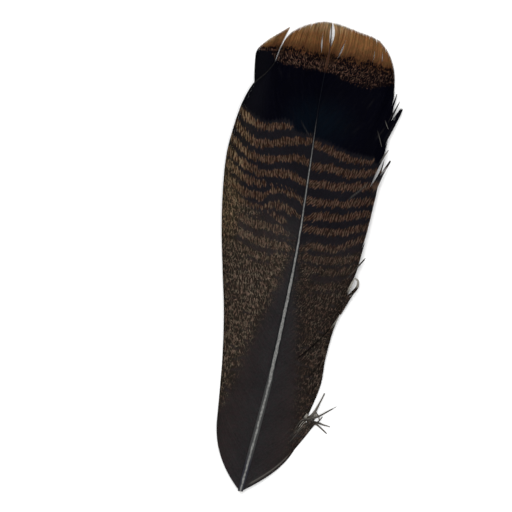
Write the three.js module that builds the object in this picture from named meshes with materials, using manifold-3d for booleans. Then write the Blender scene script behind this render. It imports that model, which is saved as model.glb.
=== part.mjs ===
// A turkey tail feather, lying with its upper side up.
// Millimetres. +Y runs from the cut end of the shaft to the tip, +X to the feather's right, +Z up.
// The origin is under the middle of the feather, on the surface it lies on.
//
// Plan positions are written as (out, along): out is measured to the right of the straight line from
// the cut end to the tip, and along is measured up that line from the cut end.

import * as THREE from 'three';
import { mergeVertices } from 'three/addons/utils/BufferGeometryUtils.js';
import Module from 'manifold-3d';

// ---- Driving dimensions (mm) ----

const LENGTH = 276.5;
const SHAFT_START = -0.9;
const SHAFT_END = 270;
const REST_LENGTH = 56; // the shaft's underside is flat over this length
const ARCH = 6.5; // rise of the shaft's underside at mid length
const TIP_LIFT = 1.2; // height of the shaft's underside at the tip
const EDGE_HEIGHT = 0.55; // height of the vanes' edges at the base and at the tip
const EDGE_ARCH = 2.4; // extra height of the vanes' edges at mid length
const RIPPLE = 0.35; // waviness of the vanes at their edges

const RIGHT_LOCKS = 26;
const LEFT_LOCKS = 26;
const WISP_LOCKS = 3;
const WISP_SINK = 0.8; // how far the wisp lies below the barbs over it
const RIDGE_THICKNESS = 0.9;
const GROOVE_THICKNESS = 0.4;
const LOCK_RIDGE = 0.65; // where a lock's ridge lies, as a share of its width
const GROOVE_REACH = 0.99; // length of the barbs between two locks, as a share of the ridge's

const VANE_STEPS = 8;
const SHAFT_STEPS = 30;
const LOOSE_LOCK_STEPS = 4;
const SNAP = 0.01; // points closer than this are one point

const LEFT = -1;
const RIGHT = 1;

// Middle line of the shaft: along, out.
const SHAFT_LINE = [
  [0, 0], [23, 1.8], [42, 3.2], [65, 4.6], [99, 5.4], [125, 5.8], [150, 5.6],
  [179, 4.4], [198, 3.6], [226, 2.3], [245, 2.0], [266, 1.4], [276.5, 0.2],
];

// Size of the shaft: along, width, height.
const SHAFT_SIZE = [
  [-0.9, 3.1, 3.2], [20, 3.7, 3.5], [50, 3.6, 3.3], [100, 3.1, 2.9], [150, 2.3, 2.3],
  [200, 1.5, 1.7], [240, 1.0, 1.2], [276.5, 0.5, 0.7],
];

// Section of the shaft, in half widths and heights: flat below, rounded above.
const SHAFT_SECTION = [
  [-0.6, 0], [0.6, 0], [1, 0.35], [0.92, 0.74], [0.4, 1], [-0.4, 1], [-0.92, 0.74], [-1, 0.35],
];

// Distance from the shaft at which the vanes reach their edge height: along, distance.
const VANE_REACH = [
  [0, 14], [30, 24], [60, 28], [100, 32], [130, 38], [170, 43], [210, 46], [250, 43], [276.5, 38],
];

// The barbs' courses. Each row is one barb: where it leaves the shaft (along), where its tip lies
// (out from the straight line, along), and its angle to the feather's length at root and tip.
// A positive angle leads away from the shaft. The barbs between the rows follow smoothly.
const RIGHT_BARBS = [
  [-1.2, 28.2, 38, 54, 3],
  [13, 30.8, 52, 46, 8],
  [26, 34.2, 69, 44, 6],
  [37, 34.0, 83, 43, 8],
  [52, 35.2, 100, 43, 10],
  [59, 37.0, 110, 43, 11],
  [66, 39.4, 119, 43, 12],
  [80, 42.2, 138, 42, 12],
  [100, 44.0, 165, 42, 11],
  [118, 45.0, 190, 41, 12],
  [136, 45.6, 216, 40, 12],
  [152, 44.9, 237, 38, 8],
  [163, 42.3, 253, 36, 0],
  [174, 38.9, 261.5, 33, -8],
  [186, 33.9, 268, 30, -13],
  [200, 28.0, 271.9, 27, -13],
  [222, 18.0, 273.9, 24, -9],
  [243, 9.5, 275.5, 20, -4],
  [258, 4.8, 276.1, 14, -1],
  [268, 2.2, 276.4, 6, 0],
];

const LEFT_BARBS = [
  [-1.2, 21.0, 36, 50, 6],
  [14, 22.8, 54, 44, 8],
  [28, 25.4, 77, 43, 10],
  [42, 29.4, 101, 43, 12],
  [55, 34.4, 123, 43, 13],
  [68, 39.4, 146, 43, 12],
  [82, 43.0, 168, 43, 10],
  [97, 45.2, 190, 43, 6],
  [110, 43.9, 207, 42, 0],
  [122, 41.7, 221, 41, -10],
  [137, 37.9, 232.4, 40, -18],
  [146, 34.8, 236.6, 39, -26],
  [154, 30.5, 242, 37, -28],
  [161, 27.2, 249, 35, -16],
  [169, 25.6, 257, 32, -10],
  [179, 22.4, 265, 30, -14],
  [192, 16.5, 270.4, 27, -16],
  [212, 9.5, 274.0, 22, -11],
  [238, 4.0, 275.9, 16, -5],
  [258, 0.6, 276.4, 9, -1],
  [268, 0.0, 276.5, 4, 0],
];

// The wisp has slipped under the rest of the left vane and comes out past its edge.
const WISP_BARBS = [
  [134.5, 39.5, 251, 27, 5],
  [139, 37.8, 255.2, 31, 0],
  [143.5, 32.3, 261.2, 33, -12],
  [148.5, 22.8, 269.3, 36, -15],
];

// Splits in the right vane: the start on the shaft of the barb beside the split, the share of the
// barb's length at which it opens, and its width at the edge.
const SPLITS = [
  [125, 0.84, 1.6],
  [262, 0.05, 2.8],
];

// Loose locks and broken barbs at the right edge: their course (out, along), width at the root,
// and rise at the tip.
const LOOSE_LOCKS = [
  { course: [[39, 206], [44.6, 220], [48, 229], [50.9, 236.1]], width: 4.4, rise: 0.6 },
  { course: [[44, 222], [47.6, 227.5], [49.9, 231]], width: 1.6, rise: 0.2 },
  { course: [[43, 228], [45, 238], [45.7, 243]], width: 1.1, rise: 0.2 },
  { course: [[43, 222], [45.9, 231.6], [48.2, 239]], width: 1.1, rise: 0.8 },
  { course: [[42, 199], [44.6, 204.8], [46.9, 209.9]], width: 0.9, rise: 0.4 },
  { course: [[40, 175], [43.6, 188], [46.1, 196], [49.6, 204.5]], width: 3.0, rise: 0.5 },
  { course: [[37, 133], [40.8, 139.5], [44.6, 145.4]], width: 1.2, rise: 0.6 },
  { course: [[35, 108], [40.2, 120], [43.2, 128], [41.6, 133]], width: 2.0, rise: 0.9 },
  { course: [[22, 26], [28.5, 37], [32.5, 43], [35.6, 47.6]], width: 5.4, rise: 0.5 },
  { course: [[28, 41], [33.9, 53.4], [35.4, 58.2], [37.5, 63.8]], width: 2.0, rise: 1.4 },
  { course: [[29, 44], [36.4, 50.5], [41, 54.2], [46.2, 58.3]], width: 1.5, rise: 1.0 },
  { course: [[30, 42], [36, 47], [40, 46.4], [44.9, 45.4]], width: 1.3, rise: 0.6 },
  { course: [[31, 43], [36, 46], [39.6, 43.6], [43.4, 41.2]], width: 1.3, rise: 0.2 },
  { course: [[33, 45], [36.8, 47.6], [38.5, 50.7]], width: 1.0, rise: 0.3 },
];

const VANE_COLOUR = 0x3a2e26;

// ---- Curves and surfaces ----

// A smooth curve through the rows of a table; the first column is the position along it.
function follow(rows, position) {
  const last = rows.length - 1;
  let k = 0;
  while (k < last - 1 && position > rows[k + 1][0]) {
    k += 1;
  }
  const before = rows[Math.max(k - 1, 0)];
  const from = rows[k];
  const to = rows[k + 1];
  const after = rows[Math.min(k + 2, last)];
  const span = to[0] - from[0];
  const t = THREE.MathUtils.clamp((position - from[0]) / span, 0, 1);
  const values = [];
  for (let column = 1; column < from.length; column += 1) {
    const slopeFrom = (to[column] - before[column]) / (to[0] - before[0]);
    const slopeTo = (after[column] - from[column]) / (after[0] - from[0]);
    values.push(
      (2 * t ** 3 - 3 * t ** 2 + 1) * from[column]
      + (t ** 3 - 2 * t ** 2 + t) * span * slopeFrom
      + (3 * t ** 2 - 2 * t ** 3) * to[column]
      + (t ** 3 - t ** 2) * span * slopeTo,
    );
  }
  return values;
}

function shaftOut(along) {
  return follow(SHAFT_LINE, along)[0];
}

// Share of the arched length: 0 where the flat underside ends, 1 at the tip.
function archShare(along) {
  return THREE.MathUtils.clamp((along - REST_LENGTH) / (LENGTH - REST_LENGTH), 0, 1);
}

function shaftFloor(along) {
  const share = archShare(along);
  return ARCH * Math.sin(Math.PI * share) ** 1.5 + TIP_LIFT * THREE.MathUtils.smoothstep(share, 0.6, 1);
}

// Height of the vanes' middle surface, which droops from the shaft to the edges.
function vaneHeight(out, along) {
  const crest = shaftFloor(along) + 0.62 * follow(SHAFT_SIZE, along)[1];
  const edge = EDGE_HEIGHT + EDGE_ARCH * Math.sin(Math.PI * archShare(along)) ** 1.5;
  const share = Math.min(Math.abs(out - shaftOut(along)) / follow(VANE_REACH, along)[0], 1.1);
  const ripple = RIPPLE * Math.sin(along / 11 + Math.sign(out)) * share * (1 - archShare(along) ** 4);
  return Math.max(crest + (edge - crest) * share ** 1.7 + ripple, EDGE_HEIGHT - 0.1);
}

// The course of one barb in plan, as a curve from the shaft to the barb's tip.
function barbCourse(rows, side, start) {
  const [tipOut, tipAlong, rootAngle, tipAngle] = follow(rows, start);
  const root = new THREE.Vector2(shaftOut(start), start);
  const tip = new THREE.Vector2(side * tipOut, tipAlong);
  const reach = 0.35 * root.distanceTo(tip);
  const heading = (degrees) => new THREE.Vector2(
    side * Math.sin(THREE.MathUtils.degToRad(degrees)),
    Math.cos(THREE.MathUtils.degToRad(degrees)),
  );
  return new THREE.CubicBezierCurve(
    root,
    root.clone().addScaledVector(heading(rootAngle), reach),
    tip.clone().addScaledVector(heading(tipAngle), -reach),
    tip,
  );
}

// ---- Closed shapes with every point placed ----

// Moves every point of a closed geometry to place(x, y, z), its faces kept outward.
function reshape(geometry, place) {
  geometry.deleteAttribute('normal');
  geometry.deleteAttribute('uv');
  const points = geometry.getAttribute('position');
  for (let i = 0; i < points.count; i += 1) {
    const point = place(points.getX(i), points.getY(i), points.getZ(i));
    points.setXYZ(i, point.x, point.y, point.z);
  }
  const merged = mergeVertices(geometry, 1e-5);
  if (signedVolume(merged) < 0) {
    merged.index.array.reverse();
  }
  return merged;
}

function signedVolume(geometry) {
  const points = geometry.getAttribute('position');
  const corners = [new THREE.Vector3(), new THREE.Vector3(), new THREE.Vector3()];
  let volume = 0;
  for (let i = 0; i < geometry.index.count; i += 3) {
    corners.forEach((corner, c) => corner.fromBufferAttribute(points, geometry.index.getX(i + c)));
    volume += corners[0].dot(corners[1].clone().cross(corners[2])) / 6;
  }
  return volume;
}

// ---- Shaft ----

function shaft() {
  const sides = SHAFT_SECTION.length;
  return reshape(new THREE.CylinderGeometry(1, 1, 1, sides, SHAFT_STEPS), (x, y, z) => {
    const along = SHAFT_START + (SHAFT_END - SHAFT_START) * (0.5 - y);
    const [width, height] = follow(SHAFT_SIZE, along);
    const corner = (Math.round((Math.atan2(x, z) / (2 * Math.PI)) * sides) + sides) % sides;
    const [across, up] = Math.hypot(x, z) < 0.5 ? [0, 0.5] : SHAFT_SECTION[corner];
    return new THREE.Vector3(shaftOut(along) + (across * width) / 2, along, shaftFloor(along) + up * height);
  });
}

// ---- Vanes ----

// One stretch of vane, `count` locks wide, as a closed sheet. Each lock is thickest along a ridge and
// thins to the grooves beside it, where its outline steps back a little. `sink` lowers the outer part.
function vane(rows, side, count, sink) {
  const first = rows[0][0];
  const last = rows[rows.length - 1][0];
  const sheet = new THREE.BoxGeometry(1, 1, 1, 2 * count, VANE_STEPS, 1);
  return reshape(sheet, (x, y, z) => {
    const column = Math.round((x + 0.5) * 2 * count);
    const isRidge = column % 2 === 1;
    const lock = Math.floor(column / 2) + (isRidge ? LOCK_RIDGE : 0);
    const share = y + 0.5;
    const isGroove = !isRidge && column > 0 && column < 2 * count;
    const course = barbCourse(rows, side, first + ((last - first) * lock) / count);
    const point = course.getPoint(isGroove ? share * GROOVE_REACH : share);
    const thickness = isRidge ? RIDGE_THICKNESS : GROOVE_THICKNESS;
    const lowered = sink * THREE.MathUtils.lerp(0.15, 1, THREE.MathUtils.smoothstep(share, 0.3, 0.65));
    const height = Math.max(vaneHeight(point.x, point.y) - lowered, RIDGE_THICKNESS / 2);
    return new THREE.Vector3(point.x, point.y, height + z * thickness);
  });
}

// The wedge that opens a split along the barb that leaves the shaft at `start`, from the share
// `open` of its length out past its tip.
function splitWedge(rows, side, [start, open, width]) {
  const course = barbCourse(rows, side, start);
  const wedge = new THREE.Shape();
  const point = course.getPoint(open);
  wedge.moveTo(point.x, point.y);
  for (const [sign, shares] of [[1, [0.25, 0.5, 0.75, 1]], [-1, [1, 0.75, 0.5, 0.25]]]) {
    for (const share of shares) {
      const t = open + (1 - open) * share;
      const heading = course.getTangent(t);
      const edge = course.getPoint(t).addScaledVector(heading, share === 1 ? 3 : 0);
      edge.add(new THREE.Vector2(heading.y, -heading.x).multiplyScalar(0.5 * sign * width * share));
      wedge.lineTo(edge.x, edge.y);
    }
  }
  wedge.closePath();
  const block = new THREE.ExtrudeGeometry(wedge, { depth: 4 * ARCH, bevelEnabled: false });
  return reshape(block, (x, y, z) => new THREE.Vector3(x, y, z - ARCH));
}

// A loose lock: a flat diamond that follows its own course and narrows to its tip.
function looseLock({ course, width, rise }) {
  const curve = new THREE.SplineCurve(course.map(([out, along]) => new THREE.Vector2(out, along)));
  return reshape(new THREE.CylinderGeometry(1, 1, 1, 4, LOOSE_LOCK_STEPS), (x, y, z) => {
    const share = y + 0.5;
    const heading = curve.getTangent(share);
    const point = curve.getPoint(share);
    const spread = 0.5 * x * width * (1 - 0.8 * share ** 1.5);
    point.addScaledVector(new THREE.Vector2(heading.y, -heading.x), spread);
    const height = vaneHeight(point.x, point.y) + rise * share ** 2;
    const up = 0.5 * z * RIDGE_THICKNESS * (1 - 0.5 * share);
    return new THREE.Vector3(point.x, point.y, height + up);
  });
}

// ---- The whole feather as one grown piece ----

const wasm = await Module();
wasm.setup();

function solid(geometry) {
  return new wasm.Manifold(new wasm.Mesh({
    numProp: 3,
    vertProperties: geometry.getAttribute('position').array,
    triVerts: geometry.index.array,
  }));
}

// Merges points that lie closer than SNAP and drops the faces that vanish with them.
function withoutSlivers(geometry) {
  const merged = mergeVertices(geometry, SNAP);
  const corners = Array.from(merged.index.array);
  const kept = [];
  for (let i = 0; i < corners.length; i += 3) {
    const face = corners.slice(i, i + 3);
    if (new Set(face).size === 3) {
      kept.push(...face);
    }
  }
  merged.setIndex(kept);
  return merged;
}

function feather() {
  const rightVane = SPLITS.reduce(
    (whole, split) => whole.subtract(solid(splitWedge(RIGHT_BARBS, RIGHT, split))),
    solid(vane(RIGHT_BARBS, RIGHT, RIGHT_LOCKS, 0)),
  );
  const pieces = [
    rightVane,
    solid(vane(LEFT_BARBS, LEFT, LEFT_LOCKS, 0)),
    solid(vane(WISP_BARBS, LEFT, WISP_LOCKS, WISP_SINK)),
    ...LOOSE_LOCKS.map((lock) => solid(looseLock(lock))),
  ];
  const fused = pieces.reduce((whole, piece) => whole.add(piece), solid(shaft()));
  const mesh = fused.getMesh();
  const raw = new THREE.BufferGeometry();
  raw.setAttribute('position', new THREE.BufferAttribute(mesh.vertProperties, 3));
  raw.setIndex(new THREE.BufferAttribute(mesh.triVerts, 1));
  const geometry = withoutSlivers(raw);
  geometry.computeBoundingBox();
  const { min, max } = geometry.boundingBox;
  geometry.translate(-(min.x + max.x) / 2, -(min.y + max.y) / 2, -min.z);
  geometry.computeVertexNormals();
  return geometry;
}

const model = new THREE.Group();
const featherMesh = new THREE.Mesh(
  feather(),
  new THREE.MeshStandardMaterial({ color: VANE_COLOUR, roughness: 0.75, metalness: 0 }),
);
featherMesh.name = 'feather';
model.add(featherMesh);

export default model;
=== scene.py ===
"""A turkey tail feather, lying on a table with its upper side up.

Plan positions are in millimetres, written as (out, along): out is measured to the right of the
straight line from the cut end of the shaft to the tip, and along is measured up that line.
The finished pieces are in metres.
"""
import math

import bpy
import numpy as np
from bpy.props import FloatProperty, FloatVectorProperty, PointerProperty
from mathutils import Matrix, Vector


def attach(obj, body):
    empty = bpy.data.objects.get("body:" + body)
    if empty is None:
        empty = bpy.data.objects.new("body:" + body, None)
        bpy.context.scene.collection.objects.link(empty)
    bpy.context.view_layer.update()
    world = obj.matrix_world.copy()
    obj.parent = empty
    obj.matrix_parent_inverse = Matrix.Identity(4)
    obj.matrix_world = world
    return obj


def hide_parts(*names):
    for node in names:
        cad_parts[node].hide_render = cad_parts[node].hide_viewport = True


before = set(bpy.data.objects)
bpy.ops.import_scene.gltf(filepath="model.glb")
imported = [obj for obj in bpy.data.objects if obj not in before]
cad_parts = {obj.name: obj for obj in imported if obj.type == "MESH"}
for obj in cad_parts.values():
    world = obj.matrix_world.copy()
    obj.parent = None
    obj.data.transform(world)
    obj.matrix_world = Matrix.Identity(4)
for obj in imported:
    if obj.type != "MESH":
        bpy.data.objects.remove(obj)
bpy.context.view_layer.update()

bl_info = {
    "name": "Turkey tail feather",
    "version": (1, 0, 0),
    "blender": (4, 5, 0),
    "location": "3D View > Sidebar > Feather",
    "description": "Builds a turkey tail feather from its barbs",
    "category": "Object",
}

# ---- Sizes (mm) ----

MILLIMETRE = 0.001
MIDDLE_OUT = 3.05  # plan position of the frame's origin
MIDDLE_ALONG = 137.65

LENGTH = 276.5
SHAFT_START = -0.9
SHAFT_END = 275.8
REST_LENGTH = 56.0  # the shaft's underside is flat over this length
ARCH = 6.5  # rise of the shaft's underside at mid length
TIP_LIFT = 1.2
EDGE_HEIGHT = 0.55  # height of the vanes' edges at the base and at the tip
EDGE_ARCH = 2.4  # extra height of the vanes' edges at mid length
RIPPLE = 0.35  # waviness of the vanes at their edges
TIP_EXTRA = 0.35  # length that the longest barbs have beyond their course
TIP_SPREAD = 0.3  # how unequal the barbs' lengths are
CREST_SHARE = 0.62  # height on the shaft at which the barbs leave it
WISP_SINK = 0.8  # how far the wisp lies below the barbs over it
ROOT_DEPTH = 0.35  # how far below the vane the loose locks' roots start
DROOP_POWER = 1.7  # how late the vanes droop between the shaft and their edges
PAST_EDGE = 1.1  # as a share of the vane's reach, where the droop stops
LOWEST_EDGE = 0.45
RIPPLE_LENGTH = 11.0
BARB_BEND = 0.35  # how long a barb keeps its direction at each end, as a share of its length
FIRST_BARB = 0.6  # where the first barb stands, in spacings
UNEVEN_SPACING = 0.12  # how unequal the spacing is, as a share of it
UNEVEN_HEIGHT = 0.015
FURTHEST_TIP = LENGTH - 0.1

CORNERS = 6  # of a barb's section
FOOT_SHARE = 0.4  # widest that half of a rib is, as a share of the web beside it
WEB_LIMITS = (0.05, 1.3)
WEB_SLANT = 0.05  # rise of a web's distal edge, and drop of its other edge
WEB_LIFT = 0.03  # height of the web beside the rib
TIP_TAPER = 2.0  # length over which a barb narrows
BARB_SMOOTHING = 40.0  # degrees: flatter edges are shaded smooth
SHAFT_SMOOTHING = 50.0

# Small groups of barbs draw together towards their tips.
LOCK_BARBS = (5, 16)
LOCK_START = 0.88  # share of a barb's length at which it starts
LOCK_STRENGTH = (0.3, 1.6)
VANE_PULL = 0.03
WISP_PULL = 0.015

WISP_ROOT_SINK = 0.15  # how deep the wisp lies at its root, as a share of its full depth
WISP_TUCK = (0.3, 0.65)  # shares of its length over which it reaches that depth
LOWEST_WISP = 0.3
WISP_SHADE = -0.2

LOOSE_SPACING = 0.3  # of the barbs in a loose lock
LOOSE_START_STEP = 0.9  # from one loose barb to the next in the map of strands
LOOSE_WEBS = (0.12, 0.35)
LOOSE_BEND = 0.25
LOWEST_LOOSE = 0.2

# The shaft's section, as shares of its height, and its cut end.
FLAT_SHARE = 0.2
FURROW_DEPTH = 0.1
FURROW_WIDTH = 0.2
RIM = 0.3
NEAR = 0.01

SHAFT_SIDES = 16
SHAFT_STEPS = 70
BARB_STEPS = 30
LOOSE_STEPS = 24

LEFT = -1
RIGHT = 1

# Middle line of the shaft: along, out.
SHAFT_LINE = [
    (0, 0), (23, 1.8), (42, 3.2), (65, 4.6), (99, 5.4), (125, 5.8), (150, 5.6),
    (179, 4.4), (198, 3.6), (226, 2.3), (245, 2.1), (258, 2.4), (267, 1.9), (276.5, 0.6),
]

# Size of the shaft: along, width, height.
SHAFT_SIZE = [
    (-0.9, 3.1, 3.2), (20, 3.7, 3.5), (50, 3.6, 3.3), (100, 3.1, 2.9), (150, 2.3, 2.3),
    (200, 1.5, 1.7), (240, 1.0, 1.2), (262, 0.8, 0.9), (276.5, 0.4, 0.4),
]

# Distance from the shaft at which the vanes reach their edge height: along, distance.
VANE_REACH = [
    (0, 14), (30, 24), (60, 28), (100, 32), (130, 38), (170, 43), (210, 46), (250, 43),
    (276.5, 38),
]

# The barbs' courses. Each row is one barb: where it leaves the shaft (along), where its tip lies
# (out from the straight line, along), and its angle to the feather's length at root and tip.
# A positive angle leads away from the shaft. The barbs between the rows follow smoothly.
RIGHT_BARBS = [
    (-1.2, 28.2, 38, 54, 3), (13, 30.8, 52, 46, 8), (26, 34.2, 69, 44, 6),
    (37, 34.0, 83, 43, 8), (52, 35.2, 100, 43, 10), (59, 37.0, 110, 43, 11),
    (66, 38.6, 119, 43, 12), (73, 40.0, 128, 43, 12), (80, 42.2, 138, 42, 12),
    (100, 44.0, 165, 42, 11), (118, 45.0, 190, 41, 12), (136, 45.6, 216, 40, 12),
    (152, 44.9, 237, 38, 8), (163, 42.3, 253, 36, 0), (174, 38.9, 261.5, 33, -8),
    (186, 33.9, 268, 30, -13), (200, 28.0, 271.9, 27, -13), (222, 18.0, 273.9, 24, -9),
    (243, 9.5, 275.5, 20, -6), (253, 5.2, 276.1, 20, -16), (261.5, 1.2, 276.4, 20, -36),
]

LEFT_BARBS = [
    (-1.2, 21.0, 36, 50, 6), (14, 22.8, 54, 44, 8), (28, 25.4, 77, 43, 10),
    (42, 29.4, 101, 43, 12), (55, 34.4, 123, 43, 13), (68, 39.4, 146, 43, 12),
    (82, 43.0, 168, 43, 10), (97, 45.0, 190, 43, 6), (110, 43.9, 207, 42, 0),
    (122, 41.7, 221, 41, -10), (137, 37.9, 232.4, 40, -18), (146, 34.8, 236.6, 39, -26),
    (154, 30.5, 242, 37, -28), (161, 27.2, 249, 35, -16), (169, 25.6, 257, 32, -10),
    (179, 22.4, 265, 30, -14), (192, 16.5, 270.4, 27, -16), (212, 9.5, 274.0, 22, -11),
    (238, 4.0, 275.9, 17, -7), (252, 0.9, 276.3, 16, -10), (262, -1.0, 276.4, 16, -14),
]

# The wisp has slipped under the rest of the left vane and comes out past its edge.
WISP_BARBS = [
    (134.5, 39.5, 251, 27, 5), (139, 37.8, 255.2, 31, 0), (143.5, 32.3, 261.2, 33, -12),
    (148.5, 22.5, 269.7, 37, -21),
]

# Places where neighbouring barbs have come apart: the start on the shaft of the barb beside the
# gap, the shares of its length where the gap opens, is widest and closes (past 1: it is open at
# the tip), its greatest width, and how many mm of shaft to each side make room for it.
RIGHT_GAPS = [
    (240.7, 0.4, 0.6, 0.84, 0.95, 4.5),
    (201.5, 0.8, 0.86, 0.93, 0.5, 4),
    (189.9, 0.87, 0.91, 0.96, 0.5, 4),
    (200.2, 0.95, 1.0, 2.0, 0.5, 7),
    (128.5, 0.76, 0.9, 1.05, 1.7, 9),
    (234.5, 0.93, 1.0, 2.0, 0.2, 5),
    (218.0, 0.95, 1.0, 2.0, 0.2, 5),
    (185.6, 0.95, 1.0, 2.0, 0.3, 5),
    (154.0, 0.93, 1.0, 2.0, 0.6, 4),
    (93.0, 0.94, 1.0, 2.0, 0.5, 4),
    (70.5, 0.95, 1.0, 2.0, 0.9, 4),
]
LEFT_GAPS = [
    (243.0, 0.42, 0.62, 0.85, 0.9, 5),
    (208.5, 0.94, 1.0, 2.0, 0.35, 6),
    (228.5, 0.95, 1.0, 2.0, 0.2, 5),
    (192.5, 0.95, 1.0, 2.0, 0.25, 5),
]

# Loose locks and broken barbs at the right edge: their course (out, along), width at the root,
# rise at the tip, and how pale they are.
LOOSE_LOCKS = [
    ([(39, 206), (44.6, 220), (48, 229), (50.2, 235.4)], 4.6, 0.6, 0.0),
    ([(44, 222), (47.6, 227.5), (49.9, 231)], 1.6, 0.2, 0.0),
    ([(43, 228), (45, 238), (45.7, 243)], 1.1, 0.2, 0.1),
    ([(43, 222), (45.9, 231.6), (48.2, 239)], 1.1, 0.8, 0.1),
    ([(37.6, 221.9), (40.3, 216.3), (42.7, 210.9)], 0.35, 0.4, 0.3),
    ([(41.1, 227.4), (42.8, 224.5), (44.5, 221.6)], 0.35, 0.4, 0.35),
    ([(42, 199), (44.6, 204.8), (46.9, 209.9)], 0.9, 0.4, 0.5),
    ([(40, 175), (43.6, 188), (46.1, 196), (49.6, 204.5)], 3.0, 0.5, 0.1),
    ([(36, 129), (40.5, 137), (45.6, 146)], 1.5, 0.6, 0.15),
    ([(35.8, 111.4), (38.7, 118.4), (40.9, 122.6), (44, 128)], 4.4, 0.6, 0.0),
    ([(38.4, 121), (39.6, 125.5), (40.7, 130), (41.7, 133)], 1.0, 0.5, 0.9),
    ([(41.5, 123.5), (44.1, 128.2), (43.9, 131.9), (41.3, 133.4)], 1.7, 0.7, 0.8),
    ([(32.6, 99), (34.6, 103.5), (36.1, 107), (37, 110.5)], 0.9, 0.4, 0.6),
    ([(22, 26), (28.5, 37), (32.5, 43), (35.6, 46.8)], 5.0, 0.3, 0.05),
    ([(19, 26), (25, 37), (29, 43), (33.5, 46.9)], 4.5, 0.2, 0.1),
    ([(29.7, 46.5), (30.7, 47.8), (32.3, 49.5), (33.9, 52.5), (35.7, 58), (37.5, 64.4)],
     2.4, 1.3, 0.4),
    ([(22.4, 35.6), (24.2, 38.8), (26.5, 44.6), (28.5, 46.9), (31.5, 47.8), (36.4, 50.3),
      (41.2, 54.3), (46.3, 58.5)], 1.2, 1.0, 0.3),
    ([(27.6, 39), (29.8, 41.5), (30.9, 45.4), (32.8, 47.2), (36, 46.7), (37.6, 48.6),
      (38.9, 50.9)], 1.1, 0.8, 0.25),
    ([(34, 45.6), (36.6, 46.5), (40.4, 45.9), (45, 45.5)], 1.0, 0.6, 0.4),
    ([(29, 40.8), (31.2, 42.8), (33.3, 44.3), (35.7, 45.6), (39.4, 43.7), (43.6, 41)],
     1.2, 0.4, 0.3),
    ([(33.8, 52.9), (36.4, 50.3), (37.4, 47.8)], 0.6, 0.6, 0.4),
    ([(19.4, 32.7), (24.5, 38.3), (27.2, 44), (28.8, 46.3)], 0.5, 0.3, 0.8),
    ([(22.7, 33.9), (26.7, 40.9), (28.6, 44.5), (30, 46.3)], 0.45, 0.3, 0.7),
    ([(28.3, 46.6), (29.3, 48.6), (29.8, 50.7)], 1.8, 0.2, 0.85),
    ([(33.2, 47.8), (34.6, 49.6), (35.2, 51.7)], 1.8, 0.2, 0.85),
    ([(31.2, 44), (33.3, 46.1), (35.3, 46.4)], 1.4, 0.2, 0.75),
]

# ---- Markings (mm) ----

# The bars' middle lines: out, along, strength. A bar ends where its strength falls to nothing.
LEFT_BARS = [
    [(-45, 219.5, 0.9), (-42, 217, 1), (-40, 215, 1), (-36, 212.5, 1), (-32, 210.5, 1),
     (-28, 209.5, 1), (-24, 209.3, 0.95), (-20, 210.8, 0.9), (-16.5, 212, 0.85), (-13, 212.6, 0.5),
     (-9.8, 213, 0.2), (-8.4, 213, 0), (-5, 211, 0), (6, 212.5, 0)],
    [(-45, 210, 0.8), (-42.5, 208.5, 1), (-40, 206, 1), (-36, 202.5, 1), (-32, 200.5, 1),
     (-28, 199.5, 1), (-24, 200, 1), (-20, 201.3, 1), (-15, 202.6, 1), (-10, 204, 1),
     (-5, 205.3, 1), (2, 206.8, 0.9), (6, 207, 0.9)],
    [(-45, 201, 0.6), (-42.5, 199, 0.9), (-38, 196, 1), (-34, 193.3, 1), (-30, 191.5, 1),
     (-25, 190.7, 1), (-20, 191, 1), (-15, 192.5, 1), (-10, 194, 1), (-5, 194.8, 1),
     (0, 194.5, 1), (6, 193, 1)],
    [(-45, 193, 0.5), (-42, 191, 0.8), (-38, 188.5, 1), (-34, 186, 1), (-30, 184.5, 1),
     (-26, 184, 1), (-25, 182.5, 1), (-20, 182.5, 1), (-15, 184, 1), (-8, 185, 1),
     (-3, 183.5, 1), (3, 182, 0.9), (6, 181, 0.9)],
    [(-45, 185, 0), (-40, 183, 0.6), (-36, 180.5, 0.9), (-32, 178, 0.9), (-28, 177, 0.9),
     (-24, 176, 0.9), (-21, 176.5, 0.8), (-19.5, 178.5, 0), (6, 177, 0)],
    [(-45, 178, 0), (-38, 174, 0.6), (-34, 171.5, 0.9), (-30, 170, 1), (-26, 169.5, 1),
     (-22, 169, 1), (-18, 170.5, 1), (-16.5, 174, 1), (-10, 176, 1), (-5, 175, 0.9),
     (0, 173, 0.7), (6, 170, 0.6)],
    [(-45, 170, 0), (-35, 166, 0.1), (-32, 164.5, 0.8), (-28, 163, 0.9), (-24, 162, 0.9),
     (-20, 161.8, 0.9), (-17.5, 162.5, 0.9), (-16, 164.5, 0.9), (-12, 166.5, 0.9),
     (-8, 166, 0.9), (-4, 165, 0.8), (0, 163.5, 0.7), (6, 161.5, 0.6)],
    [(-45, 163, 0), (-14, 160.5, 0), (-12, 160.3, 0.9), (-5, 157.5, 0.9), (-3, 157, 0),
     (6, 156.5, 0)],
    [(-45, 158, 0), (-33, 157, 0.1), (-30, 156, 0.7), (-26, 154.5, 0.9), (-22, 153, 0.9),
     (-18, 152.5, 0.9), (-14, 153.5, 0.9), (-10, 153, 0.9), (-6, 152.5, 0.8), (-3, 152, 0.2),
     (6, 151, 0)],
    [(-45, 150, 0), (-33, 148.5, 0.1), (-30, 147.5, 0.5), (-24, 145, 0.8), (-18, 144, 0.9),
     (-12, 143.5, 0.9), (0, 143, 0.5), (6, 142.5, 0.3)],
    [(-45, 141, 0), (-28, 138, 0), (-24, 137, 0.5), (-16, 135.5, 0.6), (-8, 135, 0.5),
     (-5, 135, 0), (6, 134, 0)],
]
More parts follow.
